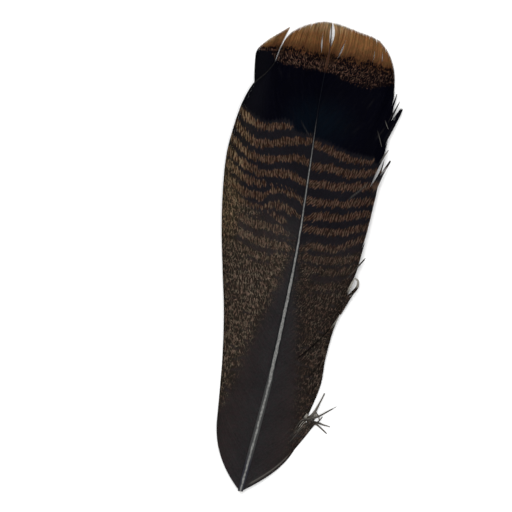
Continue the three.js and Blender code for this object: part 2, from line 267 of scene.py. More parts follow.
RIGHT_BARS = [
    [(0, 205, 0.9), (5, 204.5, 1), (10, 204, 1), (14, 203, 1), (18, 201.5, 1), (24, 200.5, 0.8),
     (29, 200.3, 0.65), (32, 200.4, 0.5), (38, 200.8, 0.45), (39.5, 201.5, 0.4), (41, 202, 0),
     (50, 203, 0)],
    [(0, 192.5, 1), (10, 192, 1.1), (16, 193, 1.2), (22, 192, 1.3), (28, 191.5, 1.3),
     (34, 193.5, 1.2), (40, 195.5, 1), (43, 197, 0.9), (50, 200, 0.8)],
    [(0, 182, 1), (10, 182.5, 1), (16, 182.8, 1), (22, 183, 1), (28, 184, 1.1),
     (34, 185.5, 1.1), (40, 187, 1), (43, 188, 1), (50, 190, 0.9)],
    [(0, 172.5, 0.9), (10, 172, 1), (16, 172.7, 1), (22, 173.2, 1), (28, 174, 1), (34, 176, 1),
     (40, 178, 1), (50, 181, 0.9)],
    [(0, 159.5, 0.6), (5, 160.5, 0.8), (10, 163, 1), (16, 165, 1), (22, 165, 1), (28, 166, 1),
     (34, 168, 1), (40, 170.5, 1), (43, 171, 1), (50, 173, 0.9)],
    [(0, 155, 0), (6, 155, 0.4), (8, 155.5, 0.8), (14, 155.8, 0.9), (20, 156.5, 1),
     (26, 156.5, 1), (32, 158.5, 1), (38, 161.5, 0.9), (42, 163, 0.9), (50, 166, 0.8)],
    [(0, 144, 0.2), (8, 144, 0.5), (14, 147, 0.8), (26, 147, 0.8), (32, 150, 0.9),
     (38, 154, 0.9), (42, 156.5, 0.8), (50, 160, 0.5)],
    [(0, 137, 0), (8, 138.5, 0.2), (12, 139.8, 0.6), (20, 139.5, 0.7), (28, 141, 0.8),
     (34, 142, 0.7), (40, 144.5, 0.5), (50, 147, 0)],
    [(0, 131, 0), (12, 132, 0.1), (18, 133, 0.5), (28, 133.8, 0.7), (36, 136.3, 0.6),
     (40, 138, 0.3), (50, 140, 0)],
    [(0, 121, 0), (14, 123, 0.1), (18, 123.5, 0.4), (26, 124.5, 0.5), (34, 127, 0.4),
     (38, 128, 0), (50, 131, 0)],
]
BAR_SPACING = 9.0  # where there is no further bar to measure to

# Lower edge of the tan fringe, and of the mottled band below it: out, along.
FRINGE_LINE = [
    (-45, 255), (-33.9, 256.3), (-14.8, 258.2), (1.8, 257.9), (13.5, 258.4), (27.8, 258.2),
    (41.1, 256.4), (50, 255),
]
MOTTLE_LINE = [
    (-45, 250), (-26, 249), (-12.8, 248), (1.4, 247.8), (14.8, 245.7), (23.5, 243.8),
    (32.3, 243.7), (42, 248.6), (50, 250),
]
WISP_FRINGE_LINE = [(-45, 254), (-38, 254.5), (-30, 256.5), (-20, 258)]
WISP_MOTTLE_LINE = [(-45, 252.5), (-38, 253), (-31, 253.5), (-28.5, 249.5), (-20, 249)]

# Upper limit of the speckle: out, along. Inner limit on each vane: along, out from the line.
SPECKLE_TOP = [
    (-45, 207), (-42, 199), (-40, 192), (-37, 185), (-34, 178), (-31, 172), (-27, 167),
    (-20, 161), (-12, 156), (-4, 153), (6, 154), (20, 151), (30, 151), (38, 154), (43, 163),
    (50, 172),
]
LEFT_PLAIN = [
    (0, -27), (40, -23), (48, -19.5), (60, -15.5), (80, -12), (100, -6.5), (120, -1),
    (141, 3.5), (160, 5), (276.5, 5),
]
RIGHT_PLAIN = [
    (0, 24), (20, 21.5), (45, 22.5), (60, 20), (80, 16.5), (98, 13), (120, 7.5), (141, 3.5),
    (160, 2), (276.5, 2),
]

SPECKLE_TOP_FADE = (-3.0, 9.0)  # below that limit, where the speckle starts and is complete
PLAIN_FADE = (-7.0, 10.0)  # the same outwards from the inner limit
PALE_TIP = 0.22  # how much paler the tips of the fringe's barbs are: partly worn tips, partly a painted edge highlight
PALE_TIP_LENGTH = 1.3
PALE_FROM = {LEFT: 122.0, RIGHT: 152.0}  # start of the first barb that has a pale tip
LINE_FADE = 0.04  # share of a barb's length over which a line starts or ends
SPECKLE_SHARE = {LEFT: 1.0, RIGHT: 0.72}  # how dense the speckle is on each vane

# Single barbs, or a few together, that look lighter (+) or darker (-) than the rest. The lighter
# ones are pale worn barbs; the darker ones are painted shadow in the partings between locks.
# Each runs from one place to another, given as start on the shaft and share of the barb's length;
# then come its amount and its breadth in mm.
RIGHT_LINES = [
    (141.7, 0.47, 132.9, 0.73, 0.3, 0.6),
    (66.5, 0.3, 63.5, 0.95, -0.95, 0.8),
    (45.0, 0.6, 44.0, 0.84, -0.7, 0.8),
    (33.5, 0.64, 32.5, 0.86, -0.6, 0.8),
    (0.9, 0.1, 1.3, 0.66, 0.35, 0.7),
    (182.5, 0.4, 179.8, 0.5, 0.06, 0.8),
    (185.6, 0.57, 183.5, 0.67, 0.07, 1.0),
    (156.3, 0.7, 150.2, 0.87, 0.1, 0.9),
    (92.1, 0.57, 95.0, 0.7, -0.25, 1.2),
    (18.4, 0.4, 22.4, 0.57, 0.1, 0.8),
]
LEFT_LINES = [
    (202.1, 0.1, 196.4, 0.27, 0.2, 0.5),
    (182.8, 0.7, 174.2, 0.83, 0.07, 0.8),
    (17.4, 0.33, 18.0, 0.63, 0.06, 1.2),
]


# ---- Fine patterns ----

BARB_COLOURS = (
    "Fringe", "Fringe Low", "Fringe Edge", "Mottle", "Mottle Ground", "Black", "Black Sheen",
    "Black Edge", "Bar", "Bar Dark", "Ground", "Speckle", "Speckle Ground", "Plain",
    "Plain Outer", "Worn",
)

STRAND_SCALE = 0.01  # size of 1 mm on the map of strands
BAR_HALF_WIDTH = 2.2
TOOTH_HEIGHT = 5.5  # how unevenly the strokes of a bar end
WAVER_HEIGHT = 3  # how far a bar wavers from its line
SWELL_HEIGHT = 2.6  # how much its width changes
STROKE_SPACING = 1.3  # from one stroke of a bar to the next
ROOT_STROKE_SPACING = 2  # the same beside the shaft, measured along it
ROOT_BREADTH = 1.4  # how much broader patterns are along the shaft than across the barbs
STROKE_LEAN = 10  # degrees by which the strokes and specks lean away from the shaft
SHAFT_X = 0.8  # x of the shaft where the bars are
GLOW_X = 0.5  # middle of the painted sheen in the black band, in the frame
GLOW_Y = 80
GLOW_STRETCH = 1.35  # how much wider than high the glow is

# Where a look starts and where it is complete, as x or y in the frame, in mm.
RIGHT_SIDE = (-6, 12)
UPPER_PART = (-5, 12)
LEFT_EDGE = (-30, -40)
OUTER_LEFT = (-31, -42)
BLACK_GREYS = (-24, -42)
MOTTLE_THINS = (4, 26)
MOTTLE_DARKENS = (5, 30)
SMEARED = (26, -2)

# The same, as a distance in mm: along the barbs from the shaft, from a bar's middle, or from the
# glow's middle. For the lower bars it is the number of bars counted from the top.
BY_SHAFT = (18, 8)
PLAIN_OUTWARD = (3, 26)
MOTTLE_ROOT = (3.4, 1.4)
BETWEEN_BARS = (1.8, 3.2)
GLOW_FADE = (21, 2)
LOWER_BARS = (4.8, 10)

# The same, as a place along the shaft in mm.
CREST_WIDENS = (165, 100)
CREST_NARROWS = (75, 55)
HORN_DULLS = (150, 170)
HORN_DARKENS = (192, 224)
HORN_BROWNS = (246.5, 251.5)
HORN_TIP = (262, 270)
FLANK_PALES = (78, 60)
FLANK_CUT = (24, 14)
FLANK_BLACKENS = (196, 212)
UNDERSIDE_DARKENS = (170, 262)

# The same, as a share of the shaft's height from below, and of its half width.
UNDERSIDE = (0.42, 0.3)
FURROW = (0.3, 0.12)

# Noise patterns: size across and along (mm), seed, and how much finer detail they have. These
# follow the plan.
LOWER_PATCHES = (6, 6, 7, 1)
WARM_PATCHES = (11, 11, 27, 2)
SPECK_ROWS = (9, 3.4, 51, 1)
BAND_PATCHES = (7, 7, 19, 1)
CLOUDS = (14, 14, 2, 2)
HUE_PATCHES = (2.4, 2.4, 90, 1)

# These follow the strokes.
TEETH = (0.65, 7, 3.1, 1.5)
STROKE_DRIFT = (3, 8, 61, 1)
STROKE_BREAKS = (0.7, 2.6, 1.3, 1.5)
STROKE_LIGHT = (0.6, 2.3, 2.3, 2)
SPECK_WORMS = (1.4, 3.5, 11, 1.7)
SPECK_BREAKS = (1.1, 2.8, 31, 1)
SPECK_LIGHT = (0.9, 2.6, 17, 1)
MOTTLE_WORMS = (1.35, 3, 21, 1.25)
MOTTLE_BREAKS = (1.1, 3, 41, 1)
MOTTLE_LIGHT = (1, 2.6, 23, 1)

# These follow the barbs: across is along the shaft, and along is along the barb.
WAVER = (6, 14, 5, 1)
SWELL = (2.4, 9, 7.7, 1)
GLOW_STREAKS = (1, 8, 71, 1)
HAIRLINES = (0.6, 9, 81, 2)
BLACK_TEETH = (2, 9, 3.6, 1)
BAND_TEETH = (1.1, 4, 9, 2)
PALE_STREAKS = (2.2, 30, 4, 3)
SMEARS = (2.6, 16, 87, 2)
FINE_STREAKS = (1.9, 60, 14, 2)
BROAD_STREAKS = (9, 40, 84, 1)
STRANDS = (0.8, 40, 6, 2)
STRAND_ROUGHNESS = 0.7
STRAND_GRAIN = (0.6, 1.5, 36, 1.5)
BARBULES = (0.25, 0.5, 0, 1)
RIDGES = (0.9, 6, 8, 2)

# These are on the shaft: across is in half widths of it.
CREST_EDGE = (0.8, 4, 1, 2)
HORN_FLECKS = (0.5, 1.4, 4, 2)
HORN_CLOUDS = (3, 9, 14, 2)
HORN_POLISH = (0.6, 3, 6, 2)
HORN_GROOVES = (0.25, 5, 9, 2)
NICK_SPACING = 0.9
PITH_CELLS = 4  # across 1 mm

# Colours that others are multiplied by.
WHITE = (1, 1, 1)
RIGHT_HUE = (1, 0.98, 1.02)
LEFT_EDGE_LIGHT = (1.36, 1.3, 1.08)
WARM_HUE = (1.06, 0.98, 1)
COOL_HUE = (0.95, 1.02, 1)
UNDERSIDE_FADE = 0.3


def srgb(red, green, blue):
    """A display colour, 0 to 255, as the linear colour that a shader needs."""
    shares = [channel / 255 for channel in (red, green, blue)]
    return tuple(s / 12.92 if s <= 0.04045 else ((s + 0.055) / 1.055) ** 2.4 for s in shares)


# ---- Settings that a user would change ----


def size_setting(name, description, size, smallest=0.0):
    return FloatProperty(
        name=name, description=description, default=size * MILLIMETRE,
        min=smallest * MILLIMETRE, unit="LENGTH", precision=5,
    )


class FeatherSizes(bpy.types.PropertyGroup):
    """Sizes of the barbs"""

    barb_spacing: size_setting("Barb spacing", "From barb to barb along the shaft", 0.66, 0.4)
    overlap: FloatProperty(
        name="Overlap", description="Reach of a barb's web as a share of its distance to the next",
        default=0.62, min=0.3, max=1.0, subtype="FACTOR",
    )
    rib_width: size_setting("Rib width", "Width of the rib along the middle of a barb", 0.16)
    rib_rise: size_setting("Rib rise", "Height of that rib above the web", 0.09)


def colour_setting(name, description, default):
    return FloatVectorProperty(
        name=name, description=description, subtype="COLOR", default=default
    )


class FeatherColours(bpy.types.PropertyGroup):
    """Colours of the feather and the stage"""

    fringe: colour_setting("Fringe", "Tan of the tip", srgb(105, 72, 42))
    fringe_low: colour_setting("Fringe, low", "Darker tan low in the fringe", srgb(70, 45, 26))
    fringe_edge: colour_setting("Fringe edge", "Paler tan at the tips", srgb(150, 125, 92))
    mottle: colour_setting("Mottle", "Worm-like flecks below the fringe", srgb(76, 56, 46))
    mottle_ground: colour_setting("Mottle ground", "Dark between those flecks", srgb(8, 3, 4))
    black: colour_setting("Black band", "Band below the fringe", srgb(0, 0, 6))
    # Painted sheen: the blue glow low in the black band is painted into the colour.
    black_sheen: colour_setting("Black band, glow", "Blue-black low in its middle", srgb(2, 7, 15))
    black_edge: colour_setting("Black band, edge", "Greyer black to its left", srgb(8, 8, 13))
    bar: colour_setting("Bars", "Chestnut of the bars", srgb(67, 52, 42))
    bar_dark: colour_setting("Bars, dark", "Red-brown between a bar's strokes", srgb(32, 18, 10))
    ground: colour_setting("Ground", "Dark colour between the bars", srgb(19, 18, 22))
    speckle: colour_setting("Speckle", "Light specks of the lower vanes", srgb(86, 74, 63))
    speckle_ground: colour_setting("Speckle ground", "Dark between the specks", srgb(32, 27, 22))
    plain: colour_setting("Plain", "Plain zone beside the shaft", srgb(34, 32, 33))
    plain_outer: colour_setting("Plain, outer", "Browner grey further out", srgb(36, 31, 31))
    worn: colour_setting("Worn barbs", "Frayed and broken barbs", srgb(140, 136, 128))
    # The crest's pale colour holds a painted highlight too, and the flanks' dark colour painted
    # shade.
    shaft_pale_and_highlight: colour_setting("Shaft, pale", "Crest of the shaft", srgb(108, 108, 106))
    shaft_dark_and_shade: colour_setting("Shaft, dark", "Flanks of the shaft", srgb(24, 24, 27))
    shaft_base: colour_setting("Shaft, base", "Flanks near the base", srgb(58, 58, 58))
    shaft_cut: colour_setting("Shaft, cut", "Flanks near the cut end", srgb(42, 42, 48))
    shaft_black: colour_setting("Shaft, black", "Crest in the black band", srgb(5, 8, 15))
    shaft_nick: colour_setting("Shaft, nicks", "Small dark nicks", srgb(50, 48, 46))
    shaft_brown: colour_setting("Shaft, brown", "Shaft in the mottled band", srgb(54, 36, 29))
    shaft_tip: colour_setting("Shaft, tip", "Shaft in the fringe", srgb(52, 40, 30))
    shaft_below: colour_setting("Shaft, below", "Its underside", srgb(128, 124, 114))
    shaft_below_tip: colour_setting("Shaft, below, tip", "Its underside's end", srgb(62, 52, 44))
    pith: colour_setting("Pith", "Inside of the cut shaft", srgb(196, 186, 164))
    pith_dark: colour_setting("Pith, dark", "Walls of the pith's cells", srgb(140, 128, 104))
    floor: colour_setting("Floor", "What the feather lies on", (0.92, 0.92, 0.92))


# ---- Curves and surfaces, for arrays of positions ----


def follow(rows, positions):
    """A smooth curve through the rows of a table; the first column is the position along it."""
    table = np.asarray(rows, float)
    positions = np.asarray(positions, float)
    last = len(table) - 1
    k = np.searchsorted(table[1:last, 0], positions, side="left")
    before, here, there, after = (table[np.clip(k + step, 0, last)] for step in (-1, 0, 1, 2))
    span = there[..., :1] - here[..., :1]
    t = np.clip((positions[..., None] - here[..., :1]) / span, 0, 1)
    slope_here = (there - before) / (there[..., :1] - before[..., :1])
    slope_there = (after - here) / (after[..., :1] - here[..., :1])
    values = (
        (2 * t**3 - 3 * t**2 + 1) * here
        + (t**3 - 2 * t**2 + t) * span * slope_here
        + (3 * t**2 - 2 * t**3) * there
        + (t**3 - t**2) * span * slope_there
    )
    return values[..., 1:]


def read_line(rows, positions, column=1):
    """The straight-line reading of a table's column at each position."""
    table = np.asarray(rows, float)
    return np.interp(positions, table[:, 0], table[:, column])


def smooth_step(value, low, high):
    t = np.clip((value - low) / (high - low), 0, 1)
    return t * t * (3 - 2 * t)


def shaft_out(along):
    return follow(SHAFT_LINE, along)[..., 0]


def arch_share(along):
    """0 where the flat underside ends, 1 at the tip."""
    return np.clip((along - REST_LENGTH) / (LENGTH - REST_LENGTH), 0, 1)


def vault(along):
    return np.maximum(np.sin(np.pi * arch_share(along)), 0) ** 1.5


def shaft_floor(along):
    return ARCH * vault(along) + TIP_LIFT * smooth_step(arch_share(along), 0.6, 1)


def vane_height(out, along):
    """Height of the vanes' middle surface, which droops from the shaft to the edges."""
    crest = shaft_floor(along) + CREST_SHARE * follow(SHAFT_SIZE, along)[..., 1]
    edge = EDGE_HEIGHT + EDGE_ARCH * vault(along)
    from_shaft = out - shaft_out(along)
    share = np.minimum(np.abs(from_shaft) / follow(VANE_REACH, along)[..., 0], PAST_EDGE)
    ripple = RIPPLE * np.sin(along / RIPPLE_LENGTH + np.sign(out)) * share
    ripple *= 1 - arch_share(along) ** 4
    return np.maximum(crest + (edge - crest) * share**DROOP_POWER + ripple, LOWEST_EDGE)


def in_frame(plan, up):
    """Plan positions and heights in mm, as points of the frame in metres."""
    points = np.stack([plan[..., 0] - MIDDLE_OUT, plan[..., 1] - MIDDLE_ALONG, up], -1)
    return points * MILLIMETRE


def rightward(plan):
    """Unit vectors in plan, to the right of each course's heading."""
    heading = np.gradient(plan, axis=1)
    heading /= np.linalg.norm(heading, axis=-1, keepdims=True)
    return np.stack([heading[..., 1], -heading[..., 0]], -1)


def barb_courses(rows, side, starts):
    """The plan courses of many barbs, as an array of barb, station, (out, along)."""
    tip_out, tip_along, root_angle, tip_angle = np.moveaxis(follow(rows, starts), -1, 0)
    root = np.stack([shaft_out(starts), starts], -1)
    tip = np.stack([side * tip_out, tip_along], -1)
    reach = BARB_BEND * np.linalg.norm(tip - root, axis=-1, keepdims=True)

    def heading(degrees):
        return np.stack([side * np.sin(np.radians(degrees)), np.cos(np.radians(degrees))], -1)

    bends = [root, root + heading(root_angle) * reach, tip - heading(tip_angle) * reach, tip]
    t = np.linspace(0, 1, BARB_STEPS + 1)[None, :, None]
    weights = [(1 - t) ** 3, 3 * (1 - t) ** 2 * t, 3 * (1 - t) * t**2, t**3]
    return sum(weight * bend[:, None, :] for weight, bend in zip(weights, bends))


def open_gaps(plan, side, starts, gaps):
    """Pushes neighbouring barbs apart, so that each gap opens between two of them."""
    shares = np.linspace(0, 1, plan.shape[1])[None, :]
    distal = -side * rightward(plan)
    moved = plan.copy()
    for start, opens, widest, closes, width, reach in gaps:
        beyond = (starts - start)[:, None]
        profile = smooth_step(shares, opens, widest) * (1 - smooth_step(shares, widest, closes))
        push = 0.5 * width * np.sign(beyond) * profile * np.exp(-((beyond / reach) ** 2))
        moved += distal * push[..., None]
    return moved


def gather_locks(plan, side, chance, pull):
    """Draws small groups of barbs together towards their tips, leaving notches between them."""
    count, stations = plan.shape[:2]
    distal = -side * rightward(plan)
    spacing = np.abs(np.sum(np.gradient(plan, axis=0) * distal, -1))
    late = smooth_step(np.linspace(0, 1, stations), LOCK_START, 1.0)
    moved = plan.copy()
    first = 0
    while first < count:
        size = int(chance.integers(*LOCK_BARBS))
        group = np.arange(first, min(first + size, count))
        offset = (group - group.mean())[:, None] * spacing[group] * late
        strength = pull * chance.uniform(*LOCK_STRENGTH)
        moved[group] -= distal[group] * (offset * strength)[..., None]
        first += size
    return moved


def web_widths(plan, overlap):
    """Widths of each barb's web towards the barb before it and the barb after it, so that it
    reaches past the middle between the two."""
    across = rightward(plan)
    steps = np.abs(np.sum(np.diff(plan, axis=0) * across[:-1], -1))
    before = np.vstack([steps[:1], steps])
    after = np.vstack([steps, steps[-1:]])
    return overlap * before, overlap * after


# ---- Meshes ----


def activate(piece):
    bpy.ops.object.select_all(action="DESELECT")
    piece.select_set(True)
    bpy.context.view_layer.objects.active = piece


def add_plan_map(mesh, under):
    """A map for textures: the upper side seen from above on the left half, the underside on the
    right half."""
    count = len(mesh.loops)
    corner = np.empty(count, dtype=np.int32)
    mesh.loops.foreach_get("vertex_index", corner)
    points = np.empty(len(mesh.vertices) * 3)
    mesh.vertices.foreach_get("co", points)
    points = points.reshape(-1, 3)[corner]
    low = points.min(0)
    size = np.maximum(points.max(0) - low, 1e-6)
    share = (points - low) / size
    places = np.stack([0.01 + 0.48 * share[:, 0], 0.01 + 0.98 * share[:, 1]], -1)
    sides = np.empty(len(mesh.polygons), dtype=np.int32)
    mesh.polygons.foreach_get("loop_total", sides)
    places[np.repeat(under, sides), 0] += 0.5
    mesh.uv_layers.new(name="OFBake").data.foreach_set("uv", places.ravel())


def barb_mesh(name, plan, up, webs, marks, sizes, side):
    """Joins closed blades, one for each course, into one piece. Each blade has a rib along its
    middle and a thin web to each side, whose distal edge lies over the next barb."""
    count, stations = plan.shape[:2]
    across = rightward(plan)
    rib_width = sizes.rib_width / MILLIMETRE
    rib_rise = sizes.rib_rise / MILLIMETRE
    to_left, to_right = (webs[1], webs[0]) if side == RIGHT else webs
    foot = np.minimum(0.5 * rib_width, FOOT_SHARE * np.minimum(to_left, to_right))
    slant = WEB_SLANT * side
    middle = np.zeros_like(foot)
    section = [
        (-to_left, slant), (-foot, WEB_LIFT + slant * 0.3), (middle, rib_rise),
        (foot, WEB_LIFT - slant * 0.3), (to_right, -slant), (middle, -rib_rise),
    ]
    points = np.stack(
        [in_frame(plan + across * shift[..., None], up + rise) for shift, rise in section], 2
    )
    number = np.arange(count * stations * CORNERS).reshape(count, stations, CORNERS)
    here, there = number[:, :-1], number[:, 1:]
    turned = np.roll(number, -1, axis=2)
    quads = np.stack([here, turned[:, :-1], turned[:, 1:], there], -1).reshape(-1, 4)
    ends = np.concatenate([number[:, 0, ::-1], number[:, -1, :]])

    mesh = bpy.data.meshes.new(name)
    mesh.vertices.add(points.size // 3)
    mesh.vertices.foreach_set("co", points.ravel())
    corners = np.concatenate([quads.ravel(), ends.ravel()]).astype(np.int32)
    starts = np.concatenate([
        np.arange(len(quads)) * 4, len(quads) * 4 + np.arange(len(ends)) * CORNERS,
    ]).astype(np.int32)
    mesh.loops.add(len(corners))
    mesh.loops.foreach_set("vertex_index", corners)
    mesh.polygons.add(len(starts))
    mesh.polygons.foreach_set("loop_start", starts)
    edge = np.tile(np.arange(CORNERS), count * (stations - 1))
    under = np.concatenate([edge >= CORNERS - 2, np.zeros(len(ends), bool)])
    mesh.polygons.foreach_set("material_index", under.astype(np.int32))
    mesh.update(calc_edges=True)

    for label, values in marks["fields"].items():
        spread = np.repeat(values[:, :, None, :], CORNERS, axis=2)
        field = mesh.attributes.new(label, "FLOAT_VECTOR", "POINT")
        field.data.foreach_set("vector", spread.ravel().astype(np.float32))
    strand = np.repeat(marks["strand"][:, :, None, :], CORNERS, axis=2)
    strand = strand.reshape(-1, 2)[corners]
    mesh.uv_layers.new(name="Strand").data.foreach_set("uv", strand.ravel())
    add_plan_map(mesh, under)
    mesh.uv_layers["Strand"].active_render = True

    piece = bpy.data.objects.new(name, mesh)
    bpy.context.collection.objects.link(piece)
    activate(piece)
    bpy.ops.object.shade_smooth_by_angle(angle=math.radians(BARB_SMOOTHING))
    for finish in ("Barbs, upper side", "Barbs, underside"):
        mesh.materials.append(material(finish))
    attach(piece, "root")
    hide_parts("feather")
    return piece


# ---- What is marked where ----


def bar_fields(bars, out, along):
    """Counts the bars downwards: a whole number is the middle of a bar. Also gives each place's
    bar strength, and the distance between bars there."""
    lines = np.stack([read_line(bar, out) for bar in bars])
    strengths = np.stack([read_line(bar, out, 2) for bar in bars])
    above = lines[:1] + BAR_SPACING
    below = lines[-1:] - BAR_SPACING
    lines = np.concatenate([above, lines, below])
    none = np.zeros_like(strengths[:1])
    strengths = np.concatenate([none, strengths, none])
    last = len(lines) - 2
    k = np.clip(np.sum(lines > along, axis=0) - 1, 0, last)
    upper = np.take_along_axis(lines, k[None], 0)[0]
    lower = np.take_along_axis(lines, k[None] + 1, 0)[0]
    share = (upper - along) / (upper - lower)
    strength_above = np.take_along_axis(strengths, k[None], 0)[0]
    strength_below = np.take_along_axis(strengths, k[None] + 1, 0)[0]
    inside = np.clip(share, 0, 1)
    strength = strength_above + (strength_below - strength_above) * smooth_step(inside, 0.4, 0.6)
    return k + share, strength, upper - lower


def speckle_density(side, out, along):
    below_top = smooth_step(read_line(SPECKLE_TOP, out) - along, *SPECKLE_TOP_FADE)
    plain = read_line(RIGHT_PLAIN if side == RIGHT else LEFT_PLAIN, along)
    outward = smooth_step(side * (out - plain), *PLAIN_FADE)
    return SPECKLE_SHARE[side] * below_top * outward


def line_wear_and_shade(starts, lines):
    """Paler worn barbs, and darker barbs with painted shadow of the partings, along their marked
    stretches.
    """
    shares = np.linspace(0, 1, BARB_STEPS + 1)[None, :]
    wear_and_painted_light = np.zeros((len(starts), BARB_STEPS + 1))
    for start, near, end, far, amount, breadth in lines:
        middle = np.interp(shares, (near, far), (start, end))
        along = smooth_step(shares, near - LINE_FADE, near + LINE_FADE)
        along *= 1 - smooth_step(shares, far - LINE_FADE, far + LINE_FADE)
        wear_and_painted_light += amount * along * np.exp(-(((starts[:, None] - middle) / breadth) ** 2))
    return wear_and_painted_light


def tip_wear_and_highlight(plan, starts, first):
    """How pale the barbs' tips are, from the first of the barbs that have pale tips: partly worn
    tips, partly a painted highlight along the vane's edge.
    """
    to_tip = np.linalg.norm(plan - plan[:, -1:], axis=-1)
    return PALE_TIP * (starts >= first)[:, None] * (1 - smooth_step(to_tip, 0.0, PALE_TIP_LENGTH))


def marks_for(plan, side, starts, bars, fringe_line, mottle_line, wear_and_painted_light):
    """The fields that the barbs' material reads."""
    out, along = plan[..., 0], plan[..., 1]
    count, strength, spacing = bar_fields(bars, out, along)
    fringe = read_line(fringe_line, out)
    depth = (fringe - along) / (fringe - read_line(mottle_line, out))
    speckle = speckle_density(side, out, along)
    steps = np.linalg.norm(np.diff(plan, axis=1), axis=-1)
    distance = np.concatenate([np.zeros((len(plan), 1)), np.cumsum(steps, 1)], 1)
    start = np.broadcast_to(starts[:, None], distance.shape)
    return {
        "fields": {
            "zone": np.stack([count, depth, speckle], -1),
            "bars": np.stack([strength, spacing, wear_and_painted_light], -1),
        },
        "strand": np.stack([start, distance], -1) * STRAND_SCALE,
    }


# ---- Materials ----


class Value:
    """What a node gives. Arithmetic with it adds the nodes that work the result out."""

    def __init__(self, wires, socket):
        self.wires = wires
        self.socket = socket

    def __add__(self, other):
        return self.wires.math("ADD", self, other)

    def __sub__(self, other):
        return self.wires.math("SUBTRACT", self, other)

    def __rsub__(self, other):
        return self.wires.math("SUBTRACT", other, self)

    def __mul__(self, other):
        return self.wires.math("MULTIPLY", self, other)

    def __truediv__(self, other):
        return self.wires.math("DIVIDE", self, other)

    def __pow__(self, other):
        return self.wires.math("POWER", self, other)

    def __abs__(self):
        return self.wires.math("ABSOLUTE", self)


class Wires:
    """Adds nodes to a node tree and wires them up."""

    def __init__(self, tree):
        self.tree = tree

    def join(self, value, socket):
        if isinstance(value, Value):
            value = value.socket
        if isinstance(value, bpy.types.NodeSocket):
            self.tree.links.new(value, socket)
        elif socket.type == "RGBA":
            socket.default_value = (*value, 1)
        else:
            socket.default_value = value

    def add(self, kind, settings=None, **inputs):
        node = self.tree.nodes.new(kind)
        for name, value in (settings or {}).items():
            setattr(node, name, value)
        for name, value in inputs.items():
            self.join(value, node.inputs[name.replace("_", " ")])
        return node

    def math(self, operation, *values):
        node = self.add("ShaderNodeMath", {"operation": operation})
        for socket, value in zip(node.inputs, values):
            self.join(value, socket)
        return Value(self, node.outputs[0])

    def ease(self, value, low, high):
        """0 at low, 1 at high, and smooth between them."""
        node = self.add("ShaderNodeMapRange", {"interpolation_type": "SMOOTHSTEP"},
                        Value=value, From_Min=low, From_Max=high)
        return Value(self, node.outputs[0])

    def mix(self, share, first, second, blend="MIX"):
        node = self.add("ShaderNodeMix", {"data_type": "RGBA", "blend_type": blend})
        for number, value in ((0, share), (6, first), (7, second)):
            self.join(value, node.inputs[number])
        return Value(self, node.outputs[2])

    def tint(self, colour, light):
        """A colour times another colour."""
        return self.mix(1.0, colour, light, "MULTIPLY")

    def brighten(self, colour, light):
        """A colour times a brightness."""
        grey = self.add("ShaderNodeCombineColor", None, Red=light, Green=light, Blue=light)
        return self.tint(colour, grey.outputs[0])

    def noise(self, first, second, seed, detail, roughness=0.5):
        """Smooth noise over two coordinates."""
        place = self.add("ShaderNodeCombineXYZ", None, X=first, Y=second, Z=seed)
        node = self.add("ShaderNodeTexNoise", {"noise_dimensions": "3D"}, Scale=1.0,
                        Vector=place.outputs[0], Detail=detail, Roughness=roughness)
        return Value(self, node.outputs[0])

    def off_centre(self, noise, amount):
        """Noise around 0, as large as the amount."""
        return (noise - 0.5) * amount

    def split(self, vector):
        node = self.tree.nodes.new("ShaderNodeSeparateXYZ")
        self.join(vector, node.inputs[0])
        return [Value(self, output) for output in node.outputs]


